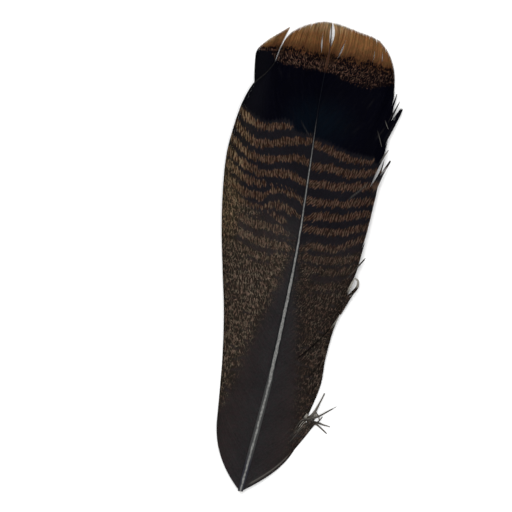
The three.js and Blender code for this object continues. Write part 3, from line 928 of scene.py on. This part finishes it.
class Markings(Wires):
    """Colours and relief of the barbs, from the fields that each piece carries."""

    def __init__(self, tree):
        super().__init__(tree)
        self.given = tree.nodes.new("NodeGroupInput").outputs
        self.count, self.depth, self.density = self.field("zone")
        self.strength, self.spacing, self.wear_and_painted_light = self.field("bars")
        strand = self.split(self.add("ShaderNodeUVMap", {"uv_map": "Strand"}).outputs[0])
        self.start = strand[0] * (1 / STRAND_SCALE)
        self.distance = strand[1] * (1 / STRAND_SCALE)
        spot = self.split(self.add("ShaderNodeTexCoord").outputs["Object"])
        self.x = spot[0] * (1 / MILLIMETRE)
        self.y = spot[1] * (1 / MILLIMETRE)
        lean = math.radians(STROKE_LEAN)
        self.sideways = abs(self.x - SHAFT_X) * math.cos(lean) - self.y * math.sin(lean)
        self.by_shaft = self.ease(self.distance, *BY_SHAFT)
        self.on_right = self.ease(self.x, *RIGHT_SIDE)
        self.upper = self.ease(self.y, *UPPER_PART)
        self.left_edge = self.ease(self.x, *LEFT_EDGE) * self.upper
        uneven = self.off_centre(self.patches(LOWER_PATCHES), 2.0)
        self.lower = self.ease(self.count + uneven, *LOWER_BARS)
        self.find_bars()
        self.thin_speckle()

    def field(self, name):
        node = self.add("ShaderNodeAttribute", {"attribute_name": name})
        return self.split(node.outputs["Vector"])

    def patches(self, pattern):
        """Noise over the plan."""
        across, along, seed, detail = pattern
        return self.noise(self.x / across, self.y / along, seed, detail)

    def streaks(self, pattern, roughness=0.5):
        """Noise that is drawn out along the barbs."""
        across, along, seed, detail = pattern
        return self.noise(self.start / across, self.distance / along, seed, detail, roughness)

    def turn(self, near, far):
        """One value by the shaft and another further out."""
        return self.by_shaft * (near - far) + far

    def upright(self, pattern):
        """Noise that is drawn out along the barbs by the shaft, and more steeply further out."""
        across, along, seed, detail = pattern
        far = self.noise(self.sideways / across, self.y / along, seed, detail)
        return self.turn(self.streaks((ROOT_BREADTH * across, along, seed, detail)), far)

    def worms(self, pattern, half_width):
        """Thin winding lines: their half width in their middles, 0 at their edges."""
        return half_width - abs(self.upright(pattern) - 0.5)

    def wave(self, place, spacing):
        return self.math("SINE", place * (2 * math.pi / spacing))

    def find_bars(self):
        """How far each place is from the middle of a bar, and how much of it is bar. A bar is a
        row of strokes, and its edges have teeth, as the strands' own marks differ in height."""
        teeth = self.off_centre(self.upright(TEETH), TOOTH_HEIGHT)
        waver = self.off_centre(self.streaks(WAVER), WAVER_HEIGHT)
        off_middle = (self.count - self.math("ROUND", self.count)) * self.spacing
        self.off_bar = abs(off_middle + teeth + waver)
        drifting = self.sideways + self.off_centre(self.upright(STROKE_DRIFT), 3.0)
        comb = self.turn(self.wave(self.start, ROOT_STROKE_SPACING),
                         self.wave(drifting, STROKE_SPACING))
        breaks = self.off_centre(self.upright(STROKE_BREAKS), 7.0)
        self.strokes = self.ease(comb + breaks, -0.9, 0.8)
        swell = self.off_centre(self.streaks(SWELL), SWELL_HEIGHT)
        reach = self.strength**0.8 * BAR_HALF_WIDTH + swell
        bar = self.ease(reach - self.off_bar, -0.35, 0.45) * self.ease(self.strength, 0.05, 0.35)
        fray = (1.0 - self.strokes) * (self.lower * 0.75 + 0.12)
        self.bar = bar * (1.0 - fray)

    def thin_speckle(self):
        """The speckle comes in uneven rows, and there is less of it between the bars."""
        between = self.ease(self.off_bar, *BETWEEN_BARS) * self.ease(self.strength, 0.15, 0.55)
        rows = self.ease(self.patches(SPECK_ROWS), 0.2, 0.46)
        self.density = self.density * (between * -0.78 + 1.0) * rows + self.left_edge * 0.15

    def bar_colour(self):
        light = self.ease(self.upright(STROKE_LIGHT), 0.36, 0.64) * 0.7 + 0.75
        light = light - self.lower * (self.on_right * 0.2 + 0.13)
        pallor = self.math("MAXIMUM", self.ease(self.x, *OUTER_LEFT) * 0.65, self.lower * 0.5)
        colour = self.mix(pallor, self.given["Bar"], self.given["Speckle"])
        return self.mix(self.strokes, self.given["Bar Dark"], self.brighten(colour, light))

    def specks(self):
        """How much of each place is speck."""
        specks = self.ease(self.worms(SPECK_WORMS, self.density * 0.042 + 0.009), -0.02, 0.02)
        specks = specks * self.ease(self.upright(SPECK_BREAKS), 0.3, 0.46)
        return specks * (self.strokes * 0.4 + 0.6) * self.ease(self.density, 0.0, 0.8)

    def speck_colour(self):
        light = self.ease(self.upright(SPECK_LIGHT), 0.38, 0.62) * 0.75 + 0.6
        warm = self.ease(self.patches(WARM_PATCHES), 0.42, 0.58) * (self.on_right * 0.35 + 0.35)
        return self.brighten(self.mix(warm, self.given["Speckle"], self.given["Bar"]), light)

    def ground(self):
        """Dark between the bars, plain lower down and by the shaft."""
        outward = self.ease(self.distance, *PLAIN_OUTWARD)
        plain = self.mix(outward, self.given["Plain"], self.given["Plain Outer"])
        ground = self.mix(self.lower, self.given["Ground"], plain)
        speckled = self.ease(self.density, 0.05, 0.8)
        return self.mix(speckled, ground, self.given["Speckle Ground"])

    def side_light(self):
        """How light and hue change across the marked parts of the vanes."""
        light = self.on_right * (self.upper * 0.21 - 0.31) + 1.0
        light = self.brighten(self.mix(self.on_right, WHITE, RIGHT_HUE), light)
        light = self.mix(self.left_edge, light, LEFT_EDGE_LIGHT)
        marked = self.math("MAXIMUM", self.ease(self.density, 0.05, 0.5),
                           self.ease(self.strength, 0.1, 0.6))
        return self.mix(marked, WHITE, light)

    def black(self):
        """The black band, with a painted blue sheen low in its middle and greyer to the left."""
        glow_x = (self.x - GLOW_X) / GLOW_STRETCH
        glow_y = self.y - GLOW_Y
        from_glow = self.math("SQRT", glow_x * glow_x + glow_y * glow_y)
        glow = self.ease(from_glow, *GLOW_FADE) * (self.streaks(GLOW_STREAKS) * 2.4 - 0.2)
        black = self.mix(glow, self.given["Black"], self.given["Black Sheen"])
        hairlines = self.ease(self.streaks(HAIRLINES), 0.52, 0.72) * 0.6
        grey = self.math("MAXIMUM", hairlines, self.ease(self.x, *BLACK_GREYS))
        return self.mix(grey, black, self.given["Black Edge"])

    def barred(self):
        """Bars and speckle, with the black band above them."""
        colour = self.mix(self.specks(), self.ground(), self.speck_colour())
        colour = self.mix(self.bar, colour, self.bar_colour())
        colour = self.tint(colour, self.side_light())
        below_black = self.count + self.off_centre(self.streaks(BLACK_TEETH), 0.6)
        below_black = below_black + self.ease(self.strength, 0.0, 0.5) * 0.7
        is_black = (1.0 - self.ease(below_black, 0.95, 1.55)) * (1.0 - self.bar)
        return self.mix(is_black, colour, self.black())

    def mottled(self):
        """The band of worm-like flecks below the fringe, plain close to the shaft."""
        sparser = self.ease(self.depth, 0.2, 0.9) * self.ease(self.x, *MOTTLE_THINS)
        flecks = self.ease(self.worms(MOTTLE_WORMS, sparser * -0.017 + 0.034), -0.022, 0.022)
        flecks = flecks * self.ease(self.upright(MOTTLE_BREAKS), 0.34, 0.46)
        light = self.ease(self.upright(MOTTLE_LIGHT), 0.38, 0.62) * 0.6 + 0.68
        light = light - self.ease(self.x, *MOTTLE_DARKENS) * 0.2
        fleck = self.mix(self.ease(self.depth, 0.05, 0.6), self.given["Fringe Low"],
                         self.given["Mottle"])
        colour = self.mix(flecks, self.given["Mottle Ground"], self.brighten(fleck, light))
        return self.mix(self.ease(self.distance, *MOTTLE_ROOT), colour, self.given["Fringe Low"])

    def fringe(self, rough_depth):
        """Tan: darker low down, paler at the tips, and streaked along the barbs."""
        tan = self.mix(self.ease(rough_depth, -0.05, -0.7), self.given["Fringe Low"],
                       self.given["Fringe"])
        pale = self.depth + self.off_centre(self.streaks(PALE_STREAKS), 1.6)
        tan = self.mix(self.ease(pale, -0.9, -1.9), tan, self.given["Fringe Edge"])
        smears = self.ease(self.streaks(SMEARS), 0.48, 0.66) * self.ease(self.x, *SMEARED)
        tan = self.mix(smears * 0.85, tan, self.given["Fringe Low"])
        light = self.ease(self.streaks(FINE_STREAKS), 0.36, 0.6) * 0.47 + 0.63
        light = light + self.ease(self.streaks(BROAD_STREAKS), 0.36, 0.6) * 0.2
        return self.brighten(tan, light)

    def colour(self):
        rough_depth = self.depth + self.off_centre(self.streaks(BAND_TEETH), 0.7)
        rough_depth = rough_depth + self.off_centre(self.patches(BAND_PATCHES), 0.45)
        in_mottle = self.ease(rough_depth, 1.08, 0.96) * self.ease(rough_depth, -0.1, 0.08)
        in_fringe = self.ease(rough_depth, 0.06, -0.06)
        colour = self.mix(in_mottle, self.barred(), self.mottled())
        return self.weather(self.mix(in_fringe, colour, self.fringe(rough_depth)))

    def weather(self, colour):
        """Strand by strand differences, large soft clouds, paler worn barbs, and barbs darkened
        with painted shade.
        """
        light = self.streaks(STRANDS, STRAND_ROUGHNESS) * 0.7 + 0.18
        light = light + self.streaks(STRAND_GRAIN) * 0.95
        light = light + self.off_centre(self.patches(CLOUDS), 0.6)
        colour = self.brighten(colour, light)
        hue = self.ease(self.patches(HUE_PATCHES), 0.36, 0.64)
        colour = self.tint(colour, self.mix(hue, WARM_HUE, COOL_HUE))
        colour = self.mix(self.ease(self.wear_and_painted_light, 0.0, 1.0), colour, self.given["Worn"])
        # Painted shade: negative values darken barbs in the partings between locks and the whole
        # wisp.
        colour = self.brighten(colour, self.math("MINIMUM", self.wear_and_painted_light, 0.0) + 1.0)
        fade = self.math("MULTIPLY", self.given["Fade"], UNDERSIDE_FADE)
        return self.mix(fade, colour, self.given["Worn"])

    def relief(self):
        return self.streaks(BARBULES) * 0.5 + self.streaks(RIDGES)


def markings_group():
    """The node group that both sides of the barbs share."""
    if "Barb markings" in bpy.data.node_groups:
        return bpy.data.node_groups["Barb markings"]
    tree = bpy.data.node_groups.new("Barb markings", "ShaderNodeTree")
    for name in BARB_COLOURS:
        tree.interface.new_socket(name, in_out="INPUT", socket_type="NodeSocketColor")
    tree.interface.new_socket("Fade", in_out="INPUT", socket_type="NodeSocketFloat")
    tree.interface.new_socket("Colour", in_out="OUTPUT", socket_type="NodeSocketColor")
    tree.interface.new_socket("Relief", in_out="OUTPUT", socket_type="NodeSocketFloat")
    markings = Markings(tree)
    result = tree.nodes.new("NodeGroupOutput")
    markings.join(markings.colour(), result.inputs["Colour"])
    markings.join(markings.relief(), result.inputs["Relief"])
    return tree


def blank_material(name, roughness, specular):
    made = bpy.data.materials.new(name)
    made.use_nodes = True
    shader = made.node_tree.nodes["Principled BSDF"]
    shader.inputs["Roughness"].default_value = roughness
    shader.inputs["Specular IOR Level"].default_value = specular
    return made, Wires(made.node_tree), shader


def add_bump(wires, shader, height, strength, depth):
    """Relief that is as deep as the depth, in mm."""
    bump = wires.add("ShaderNodeBump", None, Height=height, Strength=strength,
                     Distance=depth * MILLIMETRE)
    wires.join(bump.outputs["Normal"], shader.inputs["Normal"])


def barb_material(name, fade):
    colours = bpy.context.scene.feather_colours
    made, wires, shader = blank_material(name, 0.6, 0.02)
    markings = wires.add("ShaderNodeGroup", {"node_tree": markings_group()})
    for name in BARB_COLOURS:
        colour = getattr(colours, name.lower().replace(" ", "_"))
        wires.join(colour, markings.inputs[name])
    markings.inputs["Fade"].default_value = fade
    wires.join(markings.outputs["Colour"], shader.inputs["Base Color"])
    add_bump(wires, shader, markings.outputs["Relief"], 0.35, 0.05)
    return made


def shaft_material():
    """Horn: pale along the crest, partly its own colour and partly a painted highlight; dark down
    the flanks, partly painted shade; darker towards the tip.
    """
    colours = bpy.context.scene.feather_colours
    made, wires, shader = blank_material("Shaft horn", 0.5, 0.03)
    spot = wires.split(wires.add("ShaderNodeTexCoord").outputs["Object"])
    along = spot[1] * (1 / MILLIMETRE) + MIDDLE_ALONG
    section = wires.split(wires.add("ShaderNodeUVMap", {"uv_map": "Section"}).outputs[0])
    across = abs(section[0])

    def grain(pattern):
        """Noise over the shaft's surface."""
        size_across, size_along, seed, detail = pattern
        return wires.noise(section[0] / size_across, along / size_along, seed, detail)

    def from_to(stations):
        """0 at the first place along the shaft, 1 at the second."""
        return wires.ease(along, *stations)

    crest_width = grain(CREST_EDGE) * 0.6 + 0.03
    crest_width = crest_width + from_to(CREST_WIDENS) * 0.2 - from_to(CREST_NARROWS) * 0.26
    crest = wires.ease(crest_width - across, -0.16, 0.14)
    mottled = wires.ease(grain(HORN_FLECKS), 0.36, 0.64) * 0.5 + 0.35
    mottled = mottled + grain(HORN_CLOUDS) * 0.8 - from_to(HORN_DULLS) * 0.2
    # The pale crest is partly the horn's own paleness and partly a painted highlight.
    pale = wires.mix(from_to(HORN_DARKENS), colours.shaft_pale_and_highlight, colours.shaft_black)
    # The dark flanks carry painted shade down the shaft's sides.
    flank_and_shade = wires.mix(from_to(FLANK_PALES), colours.shaft_dark_and_shade, colours.shaft_base)
    flank_and_shade = wires.mix(from_to(FLANK_CUT), flank_and_shade, colours.shaft_cut)
    flank_and_shade = wires.mix(from_to(FLANK_BLACKENS), flank_and_shade, colours.black)
    colour = wires.mix(crest, flank_and_shade, wires.brighten(pale, mottled))
    nicks = wires.ease(wires.noise(0.0, along / NICK_SPACING, 3.0, 0.0), 0.72, 0.78)
    colour = wires.mix(nicks * 0.5, colour, colours.shaft_nick)
    colour = wires.mix(from_to(HORN_BROWNS), colour, colours.shaft_brown)
    colour = wires.mix(from_to(HORN_TIP), colour, colours.shaft_tip)

    # The underside is paler horn, with a dark furrow.
    below = wires.mix(from_to(UNDERSIDE_DARKENS), colours.shaft_below, colours.shaft_below_tip)
    below = wires.brighten(below, mottled)
    below = wires.mix(wires.ease(across, *FURROW), below, colours.shaft_dark_and_shade)
    colour = wires.mix(wires.ease(section[1], *UNDERSIDE), colour, below)
    wires.join(colour, shader.inputs["Base Color"])
    wires.join(grain(HORN_POLISH) * 0.2 + 0.45, shader.inputs["Roughness"])
    add_bump(wires, shader, grain(HORN_GROOVES), 0.3, 0.05)
    return made


def pith_material():
    """Dry, foamy inside of the cut shaft."""
    colours = bpy.context.scene.feather_colours
    made, wires, shader = blank_material("Shaft pith", 0.9, 0.5)
    spot = wires.add("ShaderNodeTexCoord").outputs["Object"]
    cells = wires.add("ShaderNodeTexVoronoi", None, Vector=spot, Scale=PITH_CELLS / MILLIMETRE)
    colour = wires.mix(cells.outputs["Distance"], colours.pith, colours.pith_dark)
    wires.join(colour, shader.inputs["Base Color"])
    add_bump(wires, shader, cells.outputs["Distance"], 0.6, 0.08)
    return made


def floor_material():
    made, wires, shader = blank_material("Pale floor", 0.9, 0.1)
    wires.join(bpy.context.scene.feather_colours.floor, shader.inputs["Base Color"])
    return made


MAKERS = {
    "Barbs, upper side": lambda: barb_material("Barbs, upper side", 0.0),
    "Barbs, underside": lambda: barb_material("Barbs, underside", 1.0),
    "Shaft horn": shaft_material,
    "Shaft pith": pith_material,
    "Pale floor": floor_material,
}


def material(name):
    return bpy.data.materials.get(name) or MAKERS[name]()


# ---- Pieces ----


class FEATHER_OT_shaft(bpy.types.Operator):
    """Shaft of the feather, drawn out station by station from one section"""

    bl_idname = "feather.shaft"
    bl_label = "Shaft"

    def execute(self, context):
        stations = np.linspace(SHAFT_START, SHAFT_END, SHAFT_STEPS + 1)
        sizes = follow(SHAFT_SIZE, stations) * MILLIMETRE
        feet = in_frame(np.stack([shaft_out(stations), stations], -1), shaft_floor(stations))
        feet = [Vector(foot) for foot in feet]
        width, height = sizes[0]
        bpy.ops.object.select_all(action="DESELECT")
        bpy.ops.mesh.primitive_circle_add(
            vertices=SHAFT_SIDES, radius=0.5 * width, fill_type="NGON",
            location=feet[0] + Vector((0, 0, 0.5 * height)), rotation=(math.pi / 2, 0, 0),
        )
        piece = context.object
        piece.name = piece.data.name = "shaft"
        bpy.ops.object.transform_apply(location=True, rotation=True, scale=True)
        bpy.ops.object.mode_set(mode="EDIT")
        bpy.ops.transform.resize(
            value=(1, 1, height / width), center_override=feet[0] + Vector((0, 0, 0.5 * height)),
        )
        self.shape_underside(piece, feet[0], height)
        bpy.ops.mesh.select_all(action="SELECT")
        for before, here, old, new in zip(feet, feet[1:], sizes, sizes[1:]):
            bpy.ops.mesh.extrude_region_move(TRANSFORM_OT_translate={"value": here - before})
            bpy.ops.transform.resize(
                value=(new[0] / old[0], 1, new[1] / old[1]), center_override=here,
            )
        self.hollow_cut_end(piece, feet[0])
        bpy.ops.mesh.select_all(action="SELECT")
        bpy.ops.mesh.normals_make_consistent(inside=False)
        bpy.ops.object.mode_set(mode="OBJECT")
        self.map_section(piece.data)
        activate(piece)
        bpy.ops.object.shade_smooth_by_angle(angle=math.radians(SHAFT_SMOOTHING))
        piece.data.materials.append(material("Shaft horn"))
        piece.data.materials.append(material("Shaft pith"))
        self.colour_pith(piece.data, feet[0])
        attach(piece, "root")
        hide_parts("feather")
        return {"FINISHED"}

    def shape_underside(self, piece, foot, height):
        """Flattens the underside, with a shallow furrow along its middle."""
        self.select_where(piece, lambda co: co.z < foot.z + FLAT_SHARE * height)
        bpy.ops.transform.resize(value=(1, 1, 0), center_override=foot)
        top = foot.z + 0.5 * FURROW_DEPTH * height
        half = FURROW_WIDTH * MILLIMETRE
        self.select_where(piece, lambda co: co.z < top and abs(co.x - foot.x) < half)
        bpy.ops.transform.translate(value=(0, 0, FURROW_DEPTH * height))

    def hollow_cut_end(self, piece, foot):
        """Sinks the pith a little inside the rim of the cut."""
        bpy.ops.mesh.select_all(action="DESELECT")
        bpy.ops.mesh.select_mode(type="FACE")
        bpy.ops.object.mode_set(mode="OBJECT")
        for face in piece.data.polygons:
            face.select = face.center.y < foot.y + NEAR * MILLIMETRE and abs(face.normal.y) > 0.9
        bpy.ops.object.mode_set(mode="EDIT")
        bpy.ops.mesh.inset(thickness=RIM * MILLIMETRE)
        bpy.ops.transform.translate(value=(0, RIM * MILLIMETRE, 0))
        bpy.ops.mesh.select_mode(type="VERT")

    def select_where(self, piece, chosen):
        bpy.ops.mesh.select_mode(type="VERT")
        bpy.ops.mesh.select_all(action="DESELECT")
        bpy.ops.object.mode_set(mode="OBJECT")
        for vertex in piece.data.vertices:
            vertex.select = bool(chosen(vertex.co))
        bpy.ops.object.mode_set(mode="EDIT")

    def map_section(self, mesh):
        """Maps each corner by its place in the section: across in half widths, up in heights."""
        for layer in list(mesh.uv_layers):
            mesh.uv_layers.remove(layer)
        layer = mesh.uv_layers.new(name="Section")
        for corner in mesh.loops:
            point = mesh.vertices[corner.vertex_index].co / MILLIMETRE
            along = point.y + MIDDLE_ALONG
            width, height = follow(SHAFT_SIZE, along)
            across = (point.x + MIDDLE_OUT - shaft_out(along)) / (0.5 * width)
            layer.data[corner.index].uv = (across, (point.z - shaft_floor(along)) / height)

    def colour_pith(self, mesh, foot):
        for face in mesh.polygons:
            if face.normal.y < -0.9 and face.center.y > foot.y + NEAR * MILLIMETRE:
                face.material_index = 1


def grow_vane(name, rows, side, bars, gaps, lines, seed):
    sizes = bpy.context.scene.feather_sizes
    chance = np.random.default_rng(seed)
    spacing = sizes.barb_spacing / MILLIMETRE
    starts = np.arange(rows[0][0] + FIRST_BARB * spacing, rows[-1][0], spacing)
    uneven = chance.uniform(-UNEVEN_SPACING, UNEVEN_SPACING, len(starts) - 2)
    starts[1:-1] += uneven * spacing
    plan = barb_courses(rows, side, starts)
    webs = web_widths(plan, sizes.overlap)
    plan = gather_locks(plan, side, chance, VANE_PULL)
    plan = open_gaps(plan, side, starts, gaps)
    plan = stretch(plan, chance)
    wear_and_painted_light = line_wear_and_shade(starts, lines) + tip_wear_and_highlight(plan, starts, PALE_FROM[side])
    marks = marks_for(plan, side, starts, bars, FRINGE_LINE, MOTTLE_LINE, wear_and_painted_light)
    webs = taper(webs, plan)
    up = vane_height(plan[..., 0], plan[..., 1])
    up += chance.normal(0, UNEVEN_HEIGHT, (len(plan), 1))
    return barb_mesh(name, plan, up, webs, marks, sizes, side)


def stretch(plan, chance):
    """Ends the barbs at slightly different lengths."""
    ends = plan[:, -1:] - plan[:, -2:-1]
    ends /= np.linalg.norm(ends, axis=-1, keepdims=True)
    longer = TIP_EXTRA - np.abs(chance.normal(0, TIP_SPREAD, len(plan)))
    longer = np.minimum(longer, FURTHEST_TIP - plan[:, -1, 1])
    late = np.linspace(0, 1, plan.shape[1]) ** 8
    return plan + ends * (longer[:, None] * late)[..., None]


def taper(webs, plan):
    """Narrows the barbs over their last few millimetres."""
    to_tip = np.linalg.norm(plan - plan[:, -1:], axis=-1)
    narrowing = 0.5 + 0.5 * smooth_step(to_tip, 0.0, TIP_TAPER)
    return [np.clip(web * narrowing, *WEB_LIMITS) for web in webs]


class FEATHER_OT_right_vane(bpy.types.Operator):
    """Barbs of the right vane"""

    bl_idname = "feather.right_vane"
    bl_label = "Right vane"

    def execute(self, context):
        grow_vane("right_vane", RIGHT_BARBS, RIGHT, RIGHT_BARS, RIGHT_GAPS, RIGHT_LINES, 11)
        return {"FINISHED"}


class FEATHER_OT_left_vane(bpy.types.Operator):
    """Barbs of the left vane"""

    bl_idname = "feather.left_vane"
    bl_label = "Left vane"

    def execute(self, context):
        grow_vane("left_vane", LEFT_BARBS, LEFT, LEFT_BARS, LEFT_GAPS, LEFT_LINES, 12)
        return {"FINISHED"}


class FEATHER_OT_wisp(bpy.types.Operator):
    """Wisp of barbs that has slipped out from under the left vane"""

    bl_idname = "feather.wisp"
    bl_label = "Wisp"

    def execute(self, context):
        sizes = context.scene.feather_sizes
        chance = np.random.default_rng(13)
        spacing = 0.5 * sizes.barb_spacing / MILLIMETRE
        starts = np.arange(WISP_BARBS[0][0], WISP_BARBS[-1][0], spacing)
        plan = barb_courses(WISP_BARBS, LEFT, starts)
        webs = web_widths(plan, sizes.overlap)
        plan = gather_locks(plan, LEFT, chance, WISP_PULL)
        plan = stretch(plan, chance)
        wear_and_painted_light = np.full(plan.shape[:2], WISP_SHADE)
        marks = marks_for(
            plan, LEFT, starts, LEFT_BARS, WISP_FRINGE_LINE, WISP_MOTTLE_LINE, wear_and_painted_light
        )
        webs = taper(webs, plan)
        share = np.linspace(0, 1, plan.shape[1])
        sink = WISP_ROOT_SINK + (1 - WISP_ROOT_SINK) * smooth_step(share, *WISP_TUCK)
        sink *= WISP_SINK
        up = np.maximum(vane_height(plan[..., 0], plan[..., 1]) - sink, LOWEST_WISP)
        barb_mesh("wisp", plan, up, webs, marks, sizes, LEFT)
        return {"FINISHED"}


def spline(points, shares):
    """Catmull-Rom curve through plan points."""
    known = np.asarray(points, float)
    last = len(known) - 1
    position = shares * last
    k = np.minimum(position.astype(int), last - 1)
    t = (position - k)[:, None]
    before, here, there, after = (known[np.clip(k + step, 0, last)] for step in (-1, 0, 1, 2))
    leave, arrive = 0.5 * (there - before), 0.5 * (after - here)
    return (
        (2 * here - 2 * there + leave + arrive) * t**3
        + (-3 * here + 3 * there - 2 * leave - arrive) * t**2
        + leave * t + here
    )


class FEATHER_OT_loose_barbs(bpy.types.Operator):
    """Loose locks and broken barbs at the right edge"""

    bl_idname = "feather.loose_barbs"
    bl_label = "Loose barbs"

    def execute(self, context):
        sizes = context.scene.feather_sizes
        chance = np.random.default_rng(14)
        shares = np.linspace(0, 1, LOOSE_STEPS + 1)
        made = []
        for lock in LOOSE_LOCKS:
            barbs = max(3, round(lock[1] / LOOSE_SPACING))
            for place in np.linspace(-0.5, 0.5, barbs):
                made.append(self.barb(lock, place, barbs, shares, chance))
        plan, up, web, wear_and_painted_light = (np.stack(part) for part in zip(*made))
        starts = np.arange(len(plan)) * LOOSE_START_STEP
        marks = marks_for(plan, RIGHT, starts, RIGHT_BARS, FRINGE_LINE, MOTTLE_LINE, wear_and_painted_light)
        barb_mesh("loose_barbs", plan, up, (web, web), marks, sizes, RIGHT)
        return {"FINISHED"}

    def barb(self, lock, place, barbs, shares, chance):
        """One barb of a lock: its course, heights, half widths and how pale it is."""
        course, width, rise, pale = lock
        middle = spline(course, shares)
        across = rightward(middle[None])[0]
        end = 1 - 0.1 * chance.random()
        spread = place * width * (1 - 0.85 * shares**1.6) * 0.9
        bend = min(LOOSE_BEND, 0.12 * width) * chance.normal() * shares**2
        plan = middle + across * (spread + bend)[:, None]
        plan = np.stack([np.interp(shares * end, shares, plan[:, axis]) for axis in (0, 1)], -1)
        lift = rise * shares**2 + 0.2 * chance.normal() * shares
        lift += ROOT_DEPTH * (smooth_step(shares, 0.05, 0.3) - 1) + 0.05
        up = np.maximum(vane_height(plan[:, 0], plan[:, 1]) + lift, LOWEST_LOOSE)
        web = np.clip((0.85 * width / barbs) * (1 - 0.5 * shares**1.5), *LOOSE_WEBS)
        wear_and_painted_light = pale * smooth_step(shares, 0.0, 0.7) + 0.06 * chance.normal()
        return plan, up, web, wear_and_painted_light


# ---- Stage ----

LIGHTS = [("key", (-0.7, 0.8, 1.5), 20), ("fill", (0.9, -0.5, 1.4), 9)]  # place (m), power
LIGHT_SIZE = 1.4
FLOOR_SIZE = 6
ROOM_LIGHT = 0.75
CAMERA_PLACE = (-0.01999, -0.00269, 1.654)
CAMERA_TURN = 10.94
CAMERA_LENS = 200


class FEATHER_OT_stage(bpy.types.Operator):
    """Floor, soft lights and camera"""

    bl_idname = "feather.stage"
    bl_label = "Stage"

    def execute(self, context):
        bpy.ops.object.select_all(action="DESELECT")
        bpy.ops.mesh.primitive_plane_add(size=FLOOR_SIZE)
        floor = context.object
        floor.name = "floor"
        floor.data.materials.append(material("Pale floor"))
        for name, place, power in LIGHTS:
            self.light(name, place, power)
        world = bpy.data.worlds.new("Soft room")
        world.use_nodes = True
        room = world.node_tree.nodes["Background"]
        room.inputs["Color"].default_value = (1, 1, 1, 1)
        room.inputs["Strength"].default_value = ROOM_LIGHT
        context.scene.world = world
        context.scene.view_settings.view_transform = "Standard"

        camera = bpy.data.objects.new("camera", bpy.data.cameras.new("camera"))
        context.collection.objects.link(camera)
        camera.data.lens = CAMERA_LENS
        camera.location = CAMERA_PLACE
        camera.rotation_euler = (0, 0, math.radians(CAMERA_TURN))
        context.scene.camera = camera
        return {"FINISHED"}

    def light(self, name, place, power):
        data = bpy.data.lights.new(name, "AREA")
        data.size = LIGHT_SIZE
        data.energy = power
        lamp = bpy.data.objects.new(name, data)
        lamp.location = place
        lamp.rotation_euler = (-Vector(place)).to_track_quat("-Z", "Y").to_euler()
        bpy.context.collection.objects.link(lamp)


# ---- Panel and running ----


class FEATHER_PT_tools(bpy.types.Panel):
    """Feather tools in the sidebar"""

    bl_idname = "FEATHER_PT_tools"
    bl_label = "Feather"
    bl_space_type = "VIEW_3D"
    bl_region_type = "UI"
    bl_category = "Feather"

    def draw(self, context):
        for operator in OPERATORS:
            self.layout.operator(operator.bl_idname)
        for group in (context.scene.feather_sizes, context.scene.feather_colours):
            box = self.layout.box()
            for name in group.__annotations__:
                box.prop(group, name)


OPERATORS = (
    FEATHER_OT_shaft,
    FEATHER_OT_right_vane,
    FEATHER_OT_left_vane,
    FEATHER_OT_wisp,
    FEATHER_OT_loose_barbs,
    FEATHER_OT_stage,
)


def register():
    for kind in (FeatherSizes, FeatherColours, *OPERATORS, FEATHER_PT_tools):
        bpy.utils.register_class(kind)
    bpy.types.Scene.feather_sizes = PointerProperty(type=FeatherSizes)
    bpy.types.Scene.feather_colours = PointerProperty(type=FeatherColours)


def unregister():
    del bpy.types.Scene.feather_colours
    del bpy.types.Scene.feather_sizes
    for kind in reversed((FeatherSizes, FeatherColours, *OPERATORS, FEATHER_PT_tools)):
        bpy.utils.unregister_class(kind)


def main():
    register()
    bpy.ops.feather.shaft()
    bpy.ops.feather.right_vane()
    bpy.ops.feather.left_vane()
    bpy.ops.feather.wisp()
    bpy.ops.feather.loose_barbs()
    bpy.ops.feather.stage()


if __name__ == "__main__":
    main()
